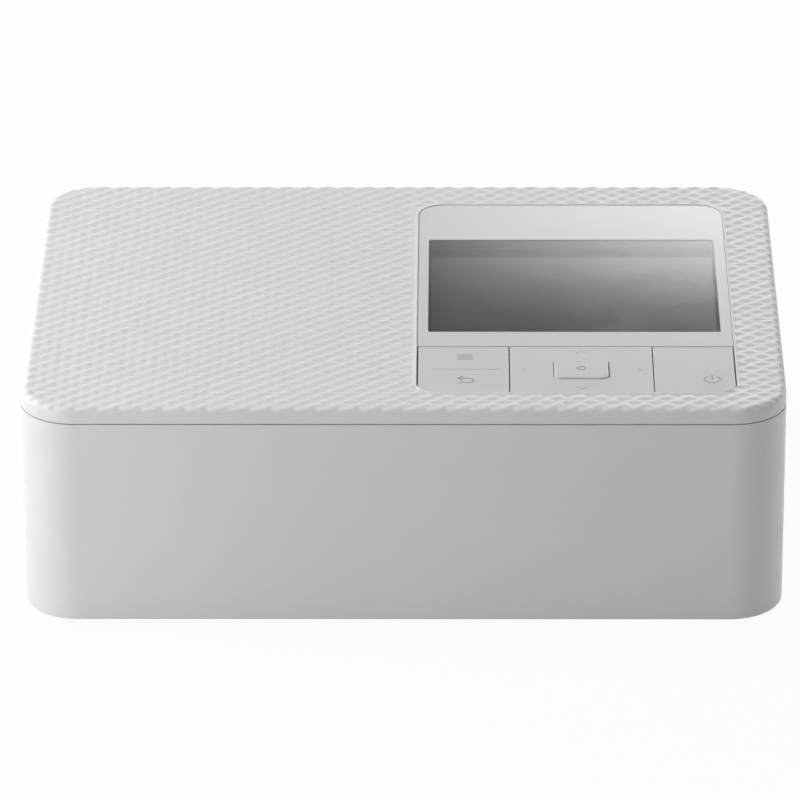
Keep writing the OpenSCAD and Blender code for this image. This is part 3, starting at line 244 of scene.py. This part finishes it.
def lcd_finish():
    """The dark display glass, with its fine grid of pixels."""
    finish = Finish("display_glass", Specular_IOR_Level=0.31)
    grid = finish.add("ShaderNodeTexBrick", Vector=finish.place, Scale=1 / MM)
    grid.offset = 0.0
    for name, value in (("Brick Width", 0.22), ("Row Height", 0.22), ("Mortar Size", 0.02)):
        grid.inputs[name].default_value = value
    for name, value in (("Color1", 0.030), ("Color2", 0.034), ("Mortar", 0.018)):
        grid.inputs[name].default_value = (value, value, value * 1.05, 1)
    cloud = finish.noise(22, 2)
    finish.colour(finish.blend(finish.between(cloud, 0, 0.4), grid.outputs["Color"], (0.045, 0.045, 0.047)))
    finish.roughness(finish.between(cloud, 0.16, 0.2))
    finish.relief(finish.noise(0.5, 2), 0.001)
    return finish.material


def film_finish():
    """Dye film on its spools: yellow, magenta, cyan and clear panels, with fine winding lines."""
    finish = Finish("dye_film", Coat_Weight=0.4)
    turn = finish.add("ShaderNodeSeparateXYZ", Vector=finish.place).outputs["Y"]
    bands = finish.add("ShaderNodeValToRGB", Fac=finish.between(turn, 0, 1, -10 * MM, 48 * MM))
    ramp = bands.color_ramp
    ramp.interpolation = "CONSTANT"
    colours = ((0.0, (0.62, 0.44, 0.03)), (0.3, (0.4, 0.02, 0.16)), (0.55, (0.01, 0.16, 0.36)),
               (0.8, (0.35, 0.35, 0.33)))
    while len(ramp.elements) < len(colours):
        ramp.elements.new(0.5)
    for stop, (at, colour) in zip(ramp.elements, colours):
        stop.position = at
        stop.color = (*colour, 1)
    cloud = finish.noise(7, 3)
    finish.colour(finish.blend(finish.between(cloud, 0, 0.3), bands.outputs["Color"], (0.1, 0.08, 0.08)))
    finish.roughness(finish.between(cloud, 0.15, 0.3))
    finish.relief(finish.noise(0.4, 2, stretch=(0.05, 1, 1)), 0.006)
    return finish.material


def board_finish():
    """Circuit board: green solder mask over copper traces and pads."""
    finish = Finish("solder_mask", Coat_Weight=0.3)
    traces = finish.add("ShaderNodeTexBrick", Vector=finish.place, Scale=1 / MM)
    for name, value in (("Brick Width", 5.2), ("Row Height", 1.3), ("Mortar Size", 0.16)):
        traces.inputs[name].default_value = value
    for name, colour in (("Color1", (0.01, 0.10, 0.04)), ("Color2", (0.012, 0.13, 0.05)),
                         ("Mortar", (0.03, 0.22, 0.08))):
        traces.inputs[name].default_value = (*colour, 1)
    cloud = finish.noise(12, 3)
    finish.colour(finish.blend(finish.between(cloud, 0, 0.5), traces.outputs["Color"], (0.008, 0.08, 0.035)))
    finish.roughness(finish.between(cloud, 0.28, 0.42))
    finish.relief(traces.outputs["Fac"], 0.03)
    return finish.material


def cable_finish():
    """Flat cable: pale film over side-by-side copper strips."""
    finish = Finish("flat_cable_film", Coat_Weight=0.3)
    across = finish.add("ShaderNodeTexWave", Vector=finish.place, Scale=math.tau * 50)
    strip = finish.between(across.outputs["Fac"], 0, 1, 0.35, 0.65)
    finish.colour(finish.blend(strip, (0.72, 0.7, 0.62), (0.5, 0.36, 0.2)))
    finish.roughness(finish.between(finish.noise(5, 2), 0.3, 0.45))
    finish.relief(strip, 0.02)
    return finish.material


case_tone = (0.80, 0.80, 0.80)
finishes = {
    "case_plastic": moulded("satin_case_plastic", case_tone, 0.36, 0.44, tone=0.012),
    "key_plastic": moulded("gloss_key_plastic", (0.745, 0.748, 0.75), 0.15, 0.2, grain_mm=2.5,
                           grain_depth=0.0012, tone=0.01, Specular_IOR_Level=0.28),
    "window": window_finish(),
    "lcd": lcd_finish(),
    "inner_plastic": moulded("inner_grey_plastic", (0.35, 0.36, 0.37), 0.42, 0.55),
    "gear_plastic": moulded("natural_acetal", (0.72, 0.68, 0.58), 0.3, 0.42, grain_mm=0.8, grain_depth=0.003),
    "black_plastic": moulded("black_moulding", (0.02, 0.02, 0.022), 0.35, 0.5),
    "cassette_plastic": moulded("smoke_cassette_plastic", (0.09, 0.093, 0.1), 0.3, 0.42),
    "lever_plastic": moulded("blue_lever_plastic", (0.02, 0.10, 0.34), 0.32, 0.42),
    "steel": metal("zinc_plated_steel", (0.58, 0.58, 0.60), 0.24, 0.4, (0.06, 1, 1)),
    "brass": metal("turned_brass", (0.62, 0.42, 0.14), 0.2, 0.34, (1, 0.1, 0.1)),
    "aluminium": metal("extruded_aluminium", (0.66, 0.67, 0.69), 0.28, 0.42, (0.05, 1, 1)),
    "ceramic": moulded("glazed_ceramic", (0.5, 0.45, 0.36), 0.1, 0.18, grain_mm=1.5, grain_depth=0.002),
    "rubber": rubber_finish(),
    "film": film_finish(),
    "circuit_board": board_finish(),
    "cable_film": cable_finish(),
}
slot_of = {}
for name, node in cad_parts.items():
    slot_of[name] = node.material_slots[0].material.name.split(".")[0]
    node.material_slots[0].material = finishes[slot_of[name]]


# ---------------------------------------------------------------- the patterned lid

class Recipe(Wiring):
    """A Geometry Nodes tree under construction, with named inputs for its sizes."""

    def __init__(self, name, sizes):
        self.tree = bpy.data.node_groups.new(name, "GeometryNodeTree")
        sides = self.tree.interface
        sides.new_socket("Geometry", in_out="OUTPUT", socket_type="NodeSocketGeometry")
        self.sizes = sizes
        self.sockets = {}
        for word, value in sizes.items():
            kind = "NodeSocketInt" if isinstance(value, int) else "NodeSocketFloat"
            self.sockets[word] = sides.new_socket(word, in_out="INPUT", socket_type=kind).identifier
        self.given = self.tree.nodes.new("NodeGroupInput").outputs
        self.result = self.tree.nodes.new("NodeGroupOutput")

    def add(self, kind, *values, **settings):
        node = self.tree.nodes.new(kind)
        for word, value in settings.items():
            setattr(node, word, value)
        for socket, value in zip(node.inputs, values):
            if value is not None:
                self.fill(socket, value)
        return node

    def math(self, operation, *values):
        return self.add("ShaderNodeMath", *values, operation=operation).outputs[0]

    def stored(self, geometry, name, value, kind="FLOAT"):
        """The geometry with a value kept on each point under a name."""
        node = self.add("GeometryNodeStoreNamedAttribute", geometry, data_type=kind, domain="POINT")
        node.inputs["Name"].default_value = name
        self.fill(node.inputs["Value"], value)
        return node.outputs[0]

    def named(self, name, kind="FLOAT"):
        """The value kept on each point under a name."""
        node = self.add("GeometryNodeInputNamedAttribute", data_type=kind)
        node.inputs["Name"].default_value = name
        return node.outputs["Attribute"]

    def finish(self, geometry, material):
        """Ends the tree in Realize Instances and Set Material."""
        solid = self.add("GeometryNodeRealizeInstances", geometry)
        coloured = self.add("GeometryNodeSetMaterial", solid.outputs[0])
        coloured.inputs["Material"].default_value = material
        self.tree.links.new(coloured.outputs[0], self.result.inputs[0])

    def baked(self, name):
        """The plain mesh that the tree makes with its sizes."""
        helper = loose(bpy.data.meshes.new(name), name)
        modifier = helper.modifiers.new(name, "NODES")
        modifier.node_group = self.tree
        for word, value in self.sizes.items():
            modifier[self.sockets[word]] = value
        return taken(helper, name)


def past_corners(recipe, x, y, half_x, half_y, corner):
    """How far a point is past the centres of a round box's corners: signed, from 0 up, and as one length."""
    m = recipe.math
    past = [m("SUBTRACT", m("ABSOLUTE", way), m("SUBTRACT", half, corner))
            for way, half in ((x, half_x), (y, half_y))]
    beyond = [m("MAXIMUM", way, 0.0) for way in past]
    return past, beyond, m("SQRT", m("ADD", *(m("POWER", way, 2.0) for way in beyond)))


def beyond_round_box(recipe, x, y, half_x, half_y, corner):
    """How far a point is outside a rectangle with round corners, negative inside."""
    past, _, length = past_corners(recipe, x, y, half_x, half_y, corner)
    inside = recipe.math("MINIMUM", recipe.math("MAXIMUM", *past), 0.0)
    return recipe.math("SUBTRACT", recipe.math("ADD", length, inside), corner)


def dimple_tool(lid_top):
    """The mould's face that presses the dimples: a shell round the lid's edge, with the pattern inside.

    The dimples are waves on a lattice of Across by Along. Level is their mean depth, the two slants cross
    it both ways, Column and Row run along its sides, and Ridge sharpens the crests.
    """
    top_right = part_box("top_cover")[1]
    panel_low, panel_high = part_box("display_panel")
    key_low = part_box("nav_pad")[0].y
    border = 0.45 * MM
    spread = (math.pi / 2 - 1) * LID_EDGE
    recipe = Recipe("dimple_tool", {
        "Across": 5.169 * MM, "Along": 4.305 * MM, "Level": 0.21 * MM,
        "Right Slant": 0.086 * MM, "Left Slant": 0.078 * MM, "Column": 0.040 * MM, "Column Lean": 0.120,
        "Row": 0.076 * MM, "Row Lean": -0.244, "Ridge": -0.013 * MM, "Steps": 7, "Cells": 66,
        "Shift X": 3.05 * MM, "Shift Y": 1.18 * MM, "Overlap": 0.02 * MM, "Thickness": 1.0 * MM,
        "Fade": 0.6 * MM, "Rim": 0.5 * MM, "Margin": -0.8 * MM, "Top": lid_top, "Edge Radius": LID_EDGE,
        "Wrap X": top_right.x + spread, "Wrap Y": top_right.y + spread, "Corner": LID_CORNER + spread,
        "Opening X": (panel_high.x - panel_low.x) / 2 + border,
        "Opening Y": (panel_high.y - key_low) / 2 + border, "Opening Corner": 6 * MM,
        "Centre X": (panel_high.x + panel_low.x) / 2, "Centre Y": (panel_high.y + key_low) / 2})
    size = recipe.given
    m = recipe.math
    count = m("MULTIPLY", size["Steps"], size["Cells"])
    points = m("ADD", count, 1.0)
    grid = recipe.add("GeometryNodeMeshGrid", count, count, points, points).outputs["Mesh"]
    place = recipe.add("ShaderNodeSeparateXYZ", recipe.add("GeometryNodeInputPosition").outputs[0])
    u, v = (m("DIVIDE", place.outputs[way], size["Steps"]) for way in "XY")
    x = m("ADD", m("MULTIPLY", m("ADD", u, v), m("MULTIPLY", size["Across"], 0.5)), size["Shift X"])
    y = m("ADD", m("MULTIPLY", m("SUBTRACT", u, v), m("MULTIPLY", size["Along"], 0.5)), size["Shift Y"])
    bowl = size["Level"]
    for wave, turn in (("Right Slant", u), ("Left Slant", v),
                       ("Column", m("ADD", m("ADD", u, v), size["Column Lean"])),
                       ("Row", m("ADD", m("SUBTRACT", u, v), size["Row Lean"])),
                       ("Ridge", m("MULTIPLY", u, 2.0)), ("Ridge", m("MULTIPLY", v, 2.0))):
        bowl = m("ADD", bowl, m("MULTIPLY", m("COSINE", m("MULTIPLY", turn, math.tau)), size[wave]))

    field = beyond_round_box(recipe, x, y, size["Wrap X"], size["Wrap Y"], size["Corner"])
    opening = beyond_round_box(recipe, m("SUBTRACT", x, size["Centre X"]), m("SUBTRACT", y, size["Centre Y"]),
                               size["Opening X"], size["Opening Y"], size["Opening Corner"])
    room = m("MINIMUM", m("SUBTRACT", m("MULTIPLY", field, -1.0), size["Rim"]), opening)
    share = m("MINIMUM", m("MAXIMUM", m("DIVIDE", room, size["Fade"]), -1.0), 1.0)
    depth = m("MULTIPLY", m("ADD", bowl, size["Overlap"]), share)

    # The flat pattern is laid over the round edge: it turns down by the angle of its length round the edge.
    _, beyond, length = past_corners(recipe, x, y, size["Wrap X"], size["Wrap Y"], size["Corner"])
    way_x, way_y = (m("DIVIDE", m("MULTIPLY", way, m("SIGN", side)), length)
                    for way, side in zip(beyond, (x, y)))
    quarter = math.pi / 2
    bent = m("ADD", m("DIVIDE", field, size["Edge Radius"]), quarter)
    turn = m("MINIMUM", m("MAXIMUM", bent, 0.0), quarter)
    level, fall = m("SINE", turn), m("COSINE", turn)
    inset = m("MULTIPLY", m("SUBTRACT", 1.0, level), size["Edge Radius"])
    pull = m("MAXIMUM", m("ADD", m("ADD", inset, field), spread), 0.0)
    drop = m("ADD", m("MULTIPLY", m("SUBTRACT", 1.0, fall), size["Edge Radius"]), m("MAXIMUM", field, 0.0))
    normal = recipe.add("ShaderNodeCombineXYZ", m("MULTIPLY", way_x, level), m("MULTIPLY", way_y, level),
                        fall).outputs[0]
    face = recipe.add("ShaderNodeCombineXYZ", m("SUBTRACT", x, m("MULTIPLY", way_x, pull)),
                      m("SUBTRACT", y, m("MULTIPLY", way_y, pull)),
                      m("SUBTRACT", size["Top"], drop)).outputs[0]
    sunk = recipe.add("ShaderNodeVectorMath", normal, operation="SCALE")
    recipe.fill(sunk.inputs["Scale"], m("MULTIPLY", depth, -1.0))
    spot = recipe.add("ShaderNodeVectorMath", face, sunk.outputs[0], operation="ADD").outputs[0]

    marked = recipe.stored(recipe.stored(grid, "room", room), "normal", normal, "FLOAT_VECTOR")
    shaped = recipe.add("GeometryNodeSetPosition", marked)
    recipe.fill(shaped.inputs["Position"], spot)
    far = recipe.add("FunctionNodeCompare", recipe.named("room"), operation="LESS_THAN", data_type="FLOAT")
    recipe.fill(far.inputs["B"], size["Margin"])
    trimmed = recipe.add("GeometryNodeDeleteGeometry", shaped.outputs[0], far.outputs[0], domain="FACE")
    lifted = recipe.add("GeometryNodeExtrudeMesh", trimmed.outputs[0], mode="FACES")
    lifted.inputs["Individual"].default_value = False
    lifted.inputs["Offset Scale"].default_value = 0.0
    away = recipe.add("ShaderNodeVectorMath", recipe.named("normal", "FLOAT_VECTOR"), operation="SCALE")
    recipe.fill(away.inputs["Scale"], size["Thickness"])
    backed = recipe.add("GeometryNodeSetPosition", lifted.outputs["Mesh"], lifted.outputs["Top"])
    recipe.fill(backed.inputs["Offset"], away.outputs[0])
    under = recipe.add("GeometryNodeFlipFaces", trimmed.outputs[0])
    both = recipe.tree.nodes.new("GeometryNodeJoinGeometry")
    recipe.tree.links.new(backed.outputs[0], both.inputs[0])
    recipe.tree.links.new(under.outputs[0], both.inputs[0])
    closed = recipe.add("GeometryNodeMergeByDistance", both.outputs[0])
    closed.inputs["Distance"].default_value = 0.001 * MM
    recipe.finish(closed.outputs[0], finishes["case_plastic"])
    mesh = recipe.baked("dimple_tool")
    shell = bmesh.new()
    shell.from_mesh(mesh)
    bmesh.ops.recalc_face_normals(shell, faces=shell.faces)
    shell.to_mesh(mesh)
    shell.free()
    return mesh


def patterned_lid():
    """The top cover with the mould's radius on its edges and the dimples pressed into its top."""
    lid_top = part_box("top_cover")[1].z
    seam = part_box("bottom_case")[1].z

    def at_seam(corner):
        return abs(corner.z - seam) < 0.4 * MM

    def at_opening(corner):
        return corner.z > lid_top - 0.05 * MM

    blank = rounded(welded("top_cover"), radius=0.2, where=at_seam, steps=2)
    lid = loose(rounded(blank, radius=0.35, where=at_opening, steps=2), "lid_blank")
    tool = loose(dimple_tool(lid_top), "dimple_tool")
    cut = lid.modifiers.new("dimples", "BOOLEAN")
    cut.operation = "DIFFERENCE"
    cut.solver = "MANIFOLD"
    cut.object = tool
    mesh = taken(lid, "patterned_lid")
    bpy.data.objects.remove(tool)
    return keep(smoothed(mesh), "patterned_lid", "base", "case_plastic", "top_cover")


patterned_lid()


# ---------------------------------------------------------------- eased mouldings

for node, body, radius in (
        ("display_panel", "base", 0.25), ("menu_key", "menu_key", 0.22), ("nav_pad", "nav_pad", 0.22),
        ("ok_key", "ok_key", 0.4), ("power_key", "power_key", 0.22), ("front_cover", "front_cover", 0.25),
        ("ink_door", "ink_door", 0.2), ("bottom_case", "base", 0.25)):
    keep(smoothed(rounded(welded(node), radius)), "eased_" + node, body, slot_of[node], node)


# ---------------------------------------------------------------- the display's lens and its seal

def thin_lens():
    """The window as a thin clear lens at the top of its opening."""
    mesh = welded("display_window")
    low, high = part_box("display_window")
    for corner in mesh.vertices:
        if corner.co.z < (low.z + high.z) / 2:
            corner.co.z = high.z - LENS
    return keep(mesh, "clear_lens", "base", "window", "display_window")


def display_seal(width=0.4 * MM, play=0.02 * MM):
    """The dark rubber frame between the lens and the display glass, which lines the recess."""
    low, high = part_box("display_window")
    bottom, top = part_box("lcd_module")[1].z + play, high.z - LENS - play
    shell = bmesh.new()
    rings = []
    for inset in (play, width):
        left, right, front, back = low.x + inset, high.x - inset, low.y + inset, high.y - inset
        corners = ((left, front), (right, front), (right, back), (left, back))
        rings.append([[shell.verts.new((x, y, z)) for x, y in corners] for z in (bottom, top)])
    (out_low, out_high), (in_low, in_high) = rings
    for i in range(4):
        j = (i + 1) % 4
        for a, b in ((out_low, out_high), (out_high, in_high), (in_high, in_low), (in_low, out_low)):
            shell.faces.new((a[i], a[j], b[j], b[i]))
    bmesh.ops.recalc_face_normals(shell, faces=shell.faces)
    mesh = bpy.data.meshes.new("display_seal")
    shell.to_mesh(mesh)
    shell.free()
    return keep(rounded(mesh, radius=0.1), "display_seal", "base", "rubber")


thin_lens()
display_seal()


# ---------------------------------------------------------------- printed marks on the keys

def stroke(shell, points, width, top, thickness, closed=False):
    """Adds a flat printed line of one width along points, in millimetres, with mitred corners."""
    count = len(points)
    path = [Vector(point) for point in points]
    rows = []
    for i, here in enumerate(path):
        before = path[i - 1] if closed or i else here
        after = path[(i + 1) % count] if closed or i < count - 1 else here
        ways = [way.normalized() for way in (here - before, after - here) if way.length]
        across = [Vector((-way.y, way.x)) for way in ways]
        normal = sum(across, Vector((0, 0))).normalized()
        reach = width / 2 / max(0.3, normal.dot(across[0]))
        corners = (here - normal * reach, here + normal * reach)
        rows.append([shell.verts.new((corner.x * MM, corner.y * MM, z))
                     for z in (top, top - thickness) for corner in corners])
    for i in range(count if closed else count - 1):
        (a, b, c, d), (e, f, g, h) = rows[i], rows[(i + 1) % count]
        for face in ((a, e, f, b), (b, f, h, d), (d, h, g, c), (c, g, e, a)):
            shell.faces.new(face)
    if not closed:
        for a, b, c, d in (rows[0], rows[-1]):
            shell.faces.new((a, b, d, c))


def arc(centre, radius, start, end, steps=28):
    """Points along an arc, in degrees."""
    turns = [math.radians(start + (end - start) * i / steps) for i in range(steps + 1)]
    return [(centre[0] + radius * math.cos(t), centre[1] + radius * math.sin(t)) for t in turns]


def printed(name, key, strokes):
    """A mark printed on a key: strokes of (points, width, closed) that stand a hair above its face."""
    shell = bmesh.new()
    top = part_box(key)[1].z + INK * MM
    for points, width, closed in strokes:
        stroke(shell, points, width, top, 2 * INK * MM, closed)
    bmesh.ops.recalc_face_normals(shell, faces=shell.faces)
    mesh = bpy.data.meshes.new(name)
    shell.to_mesh(mesh)
    shell.free()
    return keep(mesh, name, key, "inner_plastic", finish=ink)


def chevrons(centre, reach_x, reach_y):
    """Four small arrow heads round the middle key, each pointing away from it."""
    recipe = Recipe("chevrons", {
        "Reach X": reach_x * MM, "Reach Y": reach_y * MM, "Size": 1.1 * MM, "Line": 0.32 * MM,
        "Thickness": 2 * INK * MM, "Centre X": centre[0] * MM, "Centre Y": centre[1] * MM,
        "Face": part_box("nav_pad")[1].z, "Count": 4})
    size, m = recipe.given, recipe.math
    row = recipe.add("GeometryNodeMeshLine", size["Count"]).outputs[0]
    turn = m("MULTIPLY", recipe.add("GeometryNodeInputIndex").outputs[0], math.pi / 2)
    x = m("ADD", m("MULTIPLY", m("COSINE", turn), size["Reach X"]), size["Centre X"])
    y = m("ADD", m("MULTIPLY", m("SINE", turn), size["Reach Y"]), size["Centre Y"])
    spots = recipe.add("GeometryNodeSetPosition", row)
    recipe.fill(spots.inputs["Position"], recipe.add("ShaderNodeCombineXYZ", x, y, size["Face"]).outputs[0])
    bend = recipe.add("GeometryNodeCurveArc")
    for word, value in (("Resolution", 3), ("Start Angle", -math.pi / 2), ("Sweep Angle", math.pi)):
        bend.inputs[word].default_value = value
    recipe.fill(bend.inputs["Radius"], size["Size"])
    edge = recipe.add("GeometryNodeCurvePrimitiveQuadrilateral")
    recipe.fill(edge.inputs["Width"], size["Line"])
    recipe.fill(edge.inputs["Height"], size["Thickness"])
    head = recipe.add("GeometryNodeCurveToMesh", bend.outputs[0], edge.outputs[0])
    head.inputs["Fill Caps"].default_value = True
    placed = recipe.add("GeometryNodeInstanceOnPoints", spots.outputs[0])
    recipe.fill(placed.inputs["Instance"], head.outputs[0])
    recipe.fill(placed.inputs["Rotation"], recipe.add("ShaderNodeCombineXYZ", 0.0, 0.0, turn).outputs[0])
    recipe.finish(placed.outputs[0], pale_ink)
    return keep(recipe.baked("chevrons"), "chevrons", "nav_pad", "inner_plastic", finish=pale_ink)


ink, pale_ink = (
    moulded(name, colour, 0.4, 0.5, grain_mm=0.2, grain_depth=0.001, tone=0.05)
    for name, colour in (("grey_print", (0.36, 0.36, 0.365)), ("pale_grey_print", (0.52, 0.52, 0.525))))

# Places and line widths are in millimetres, seen from above.
menu_x, bar_reach, power_x, pad_middle = 14.6, 1.9, 73.6, (42.5, -43.8)
printed("menu_bars", "menu_key", [
    ([(menu_x - bar_reach, y), (menu_x + bar_reach, y)], 0.45, False) for y in (-35.6, -36.7, -37.8)])
printed("menu_rule", "menu_key", [([(6.8, -43.6), (22.9, -43.6)], 0.14, False)])
printed("return_arrow", "menu_key", [
    ([(13.1, -51.1), (15.5, -51.1), *arc((15.5, -49.9), 1.2, -90, 90, 10)[1:], (13.3, -48.7)], 0.42, False),
    ([(14.2, -47.5), (13.0, -48.7), (14.2, -49.9)], 0.42, False)])
printed("middle_ring", "ok_key", [(arc(pad_middle, 0.95, start=0, end=345, steps=23), 0.34, True)])
printed("power_mark", "power_key", [
    (arc((power_x, -49.25), 1.9, start=125, end=415), 0.4, False),
    ([(power_x, -49.3), (power_x, -46.9)], 0.4, False)])
chevrons(pad_middle, reach_x=13.3, reach_y=9.75)


# ---------------------------------------------------------------- the studio

def studio_camera():
    """A long lens from in front and above, turned a little with the body."""
    pitch, yaw, roll = math.radians(25.3265), math.radians(-0.5644), math.radians(-0.2147)
    ahead = Vector((math.sin(yaw) * math.cos(pitch), math.cos(yaw) * math.cos(pitch), -math.sin(pitch)))
    level = Vector((math.cos(yaw), -math.sin(yaw), 0))
    over = level.cross(ahead)
    right = math.cos(roll) * level + math.sin(roll) * over
    up = math.cos(roll) * over - math.sin(roll) * level
    place = (0.0130, -1.4545, 0.7169)
    optics = bpy.data.cameras.new("camera")
    optics.sensor_width = 36
    optics.lens = 293.09
    optics.clip_start = 0.05
    optics.clip_end = 20
    camera = bpy.data.objects.new("camera", optics)
    bpy.context.scene.collection.objects.link(camera)
    turn = Matrix((right, up, -ahead)).transposed().to_4x4()
    camera.matrix_world = Matrix.Translation(place) @ turn
    bpy.context.scene.camera = camera


def lamp(name, place, aim, width, height, power):
    """A soft rectangular lamp turned towards a point."""
    light = bpy.data.lights.new(name, "AREA")
    light.shape = "RECTANGLE"
    light.size = width
    light.size_y = height
    light.energy = power
    stand = bpy.data.objects.new(name, light)
    bpy.context.scene.collection.objects.link(stand)
    stand.location = place
    stand.rotation_euler = (Vector(aim) - Vector(place)).to_track_quat("-Z", "Y").to_euler()
    stand.visible_camera = False
    return stand


def falloff(light, across, up):
    """Makes a lamp fade out towards its left and its upper edge, in metres along x and z: (dark, bright)."""
    light.use_nodes = True
    tree = light.node_tree
    glow = next(node for node in tree.nodes if node.type == "EMISSION")
    place = tree.nodes.new("ShaderNodeNewGeometry").outputs["Position"]
    parts = tree.nodes.new("ShaderNodeSeparateXYZ")
    tree.links.new(place, parts.inputs[0])
    shares = []
    for way, (dark, bright), kind in (("X", across, "LINEAR"), ("Z", up, "SMOOTHSTEP")):
        share = tree.nodes.new("ShaderNodeMapRange")
        share.interpolation_type = kind
        share.inputs["From Min"].default_value = dark
        share.inputs["From Max"].default_value = bright
        tree.links.new(parts.outputs[way], share.inputs["Value"])
        shares.append(share.outputs["Result"])
    both = tree.nodes.new("ShaderNodeMath")
    both.operation = "MULTIPLY"
    for share, socket in zip(shares, both.inputs):
        tree.links.new(share, socket)
    tree.links.new(both.outputs[0], glow.inputs["Strength"])


def pale_floor():
    """A wide pale floor that looks white and keeps a faint real shadow; near the body an ambient-occlusion
    mask takes away its white glow, which paints a dark shade line under the body.
    """
    mesh = bpy.data.meshes.new("floor")
    far = 6.0
    mesh.from_pydata([(-far, -far, 0), (far, -far, 0), (far, far, 0), (-far, far, 0)], [], [(0, 1, 2, 3)])
    floor = bpy.data.objects.new("floor", mesh)
    bpy.context.scene.collection.objects.link(floor)
    paper = bpy.data.materials.new("pale_floor")
    paper.use_nodes = True
    tree = paper.node_tree
    tree.nodes.clear()
    add = tree.nodes.new
    ray, seen, share, painted_contact_shade, mat, glow, mix, out = (add(kind) for kind in (
        "ShaderNodeLightPath", "ShaderNodeMath", "ShaderNodeMath", "ShaderNodeAmbientOcclusion",
        "ShaderNodeBsdfDiffuse", "ShaderNodeEmission", "ShaderNodeMixShader", "ShaderNodeOutputMaterial"))
    seen.operation, share.operation = "MAXIMUM", "MULTIPLY"
    mat.inputs["Color"].default_value = (0.82, 0.82, 0.82, 1)
    # Painted shade: the occlusion mask takes away the floor's white glow close to the body and leaves its
    # dark line there.
    painted_contact_shade.inputs["Color"].default_value = (0.95, 0.95, 0.95, 1)
    painted_contact_shade.inputs["Distance"].default_value = 1.3 * MM
    painted_contact_shade.samples = 8
    for source, target in (
            (ray.outputs["Is Camera Ray"], seen.inputs[0]), (ray.outputs["Is Glossy Ray"], seen.inputs[1]),
            (seen.outputs[0], share.inputs[0]), (painted_contact_shade.outputs["Color"], share.inputs[1]),
            (share.outputs[0], mix.inputs[0]), (mat.outputs[0], mix.inputs[1]),
            (glow.outputs[0], mix.inputs[2]), (mix.outputs[0], out.inputs[0])):
        tree.links.new(source, target)
    mesh.materials.append(paper)


def white_room(level, ceiling):
    """A world that is white where it is seen, with a dimmer ceiling, and gives an even, gentle light."""
    world = bpy.data.worlds.new("room")
    bpy.context.scene.world = world
    world.use_nodes = True
    tree = world.node_tree
    tree.nodes.clear()
    add = tree.nodes.new
    ray, one, two, mix, fill, seen, out = (add(kind) for kind in (
        "ShaderNodeLightPath", "ShaderNodeMath", "ShaderNodeMath", "ShaderNodeMixShader",
        "ShaderNodeBackground", "ShaderNodeBackground", "ShaderNodeOutputWorld"))
    one.operation = two.operation = "MAXIMUM"
    fill.inputs["Strength"].default_value = level
    way, parts, rise = (add(kind) for kind in (
        "ShaderNodeTexCoord", "ShaderNodeSeparateXYZ", "ShaderNodeMapRange"))
    rise.interpolation_type = "SMOOTHSTEP"
    for word, value in (("From Min", 0.30), ("From Max", 0.40), ("To Min", 1.0), ("To Max", ceiling)):
        rise.inputs[word].default_value = value
    for source, target in (
            (way.outputs["Generated"], parts.inputs[0]), (parts.outputs["Z"], rise.inputs[0]),
            (rise.outputs[0], seen.inputs["Color"]),
            (ray.outputs["Is Camera Ray"], one.inputs[0]), (ray.outputs["Is Glossy Ray"], one.inputs[1]),
            (one.outputs[0], two.inputs[0]), (ray.outputs["Is Transmission Ray"], two.inputs[1]),
            (two.outputs[0], mix.inputs[0]), (fill.outputs[0], mix.inputs[1]),
            (seen.outputs[0], mix.inputs[2]), (mix.outputs[0], out.inputs[0])):
        tree.links.new(source, target)


studio_camera()
pale_floor()
white_room(level=0.1, ceiling=0.17)

# Each lamp's place, the point it faces and its sides are in metres, and its power is in watts.
lamp("left_near", (-0.38, -0.27, 0.18), (-0.09, -0.06, 0.03), 0.25, 0.3, 0.78)
lamp("left_over", (-0.45, 0.05, 0.35), (-0.05, 0, 0.057), 0.3, 0.3, 0.86)
lamp("top", (0, 0.1, 1.3), (0, 0, 0.05), 0.9, 0.9, 4.35)
lamp("rear_left", (-0.72, 0.83, 0.6), (0, 0, 0.05), 0.6, 0.5, 5.4)
lamp("rear_right", (0.6, 0.9, 0.6), (0, 0, 0.05), 0.6, 0.5, 0.6)
rear_low = lamp("rear_low", (0.10, 0.45, 0.23), (0.10, 0, 0.23), 0.26, 0.10, 0.50)
falloff(rear_low.data, across=(-0.016, 0.14), up=(0.272, 0.220))
lamp("right", (1.0, -0.1, 0.45), (0.05, 0, 0.03), 0.5, 0.6, 0.75)
lamp("right_rear", (0.7, 0.35, 0.10), (0.09, -0.05, 0.03), 0.3, 0.15, 0.85)
lamp("front", (0.05, -1.7, 0.4), (0, 0, 0.03), 0.8, 0.5, 2.45)
bpy.context.scene.view_settings.view_transform = "Standard"
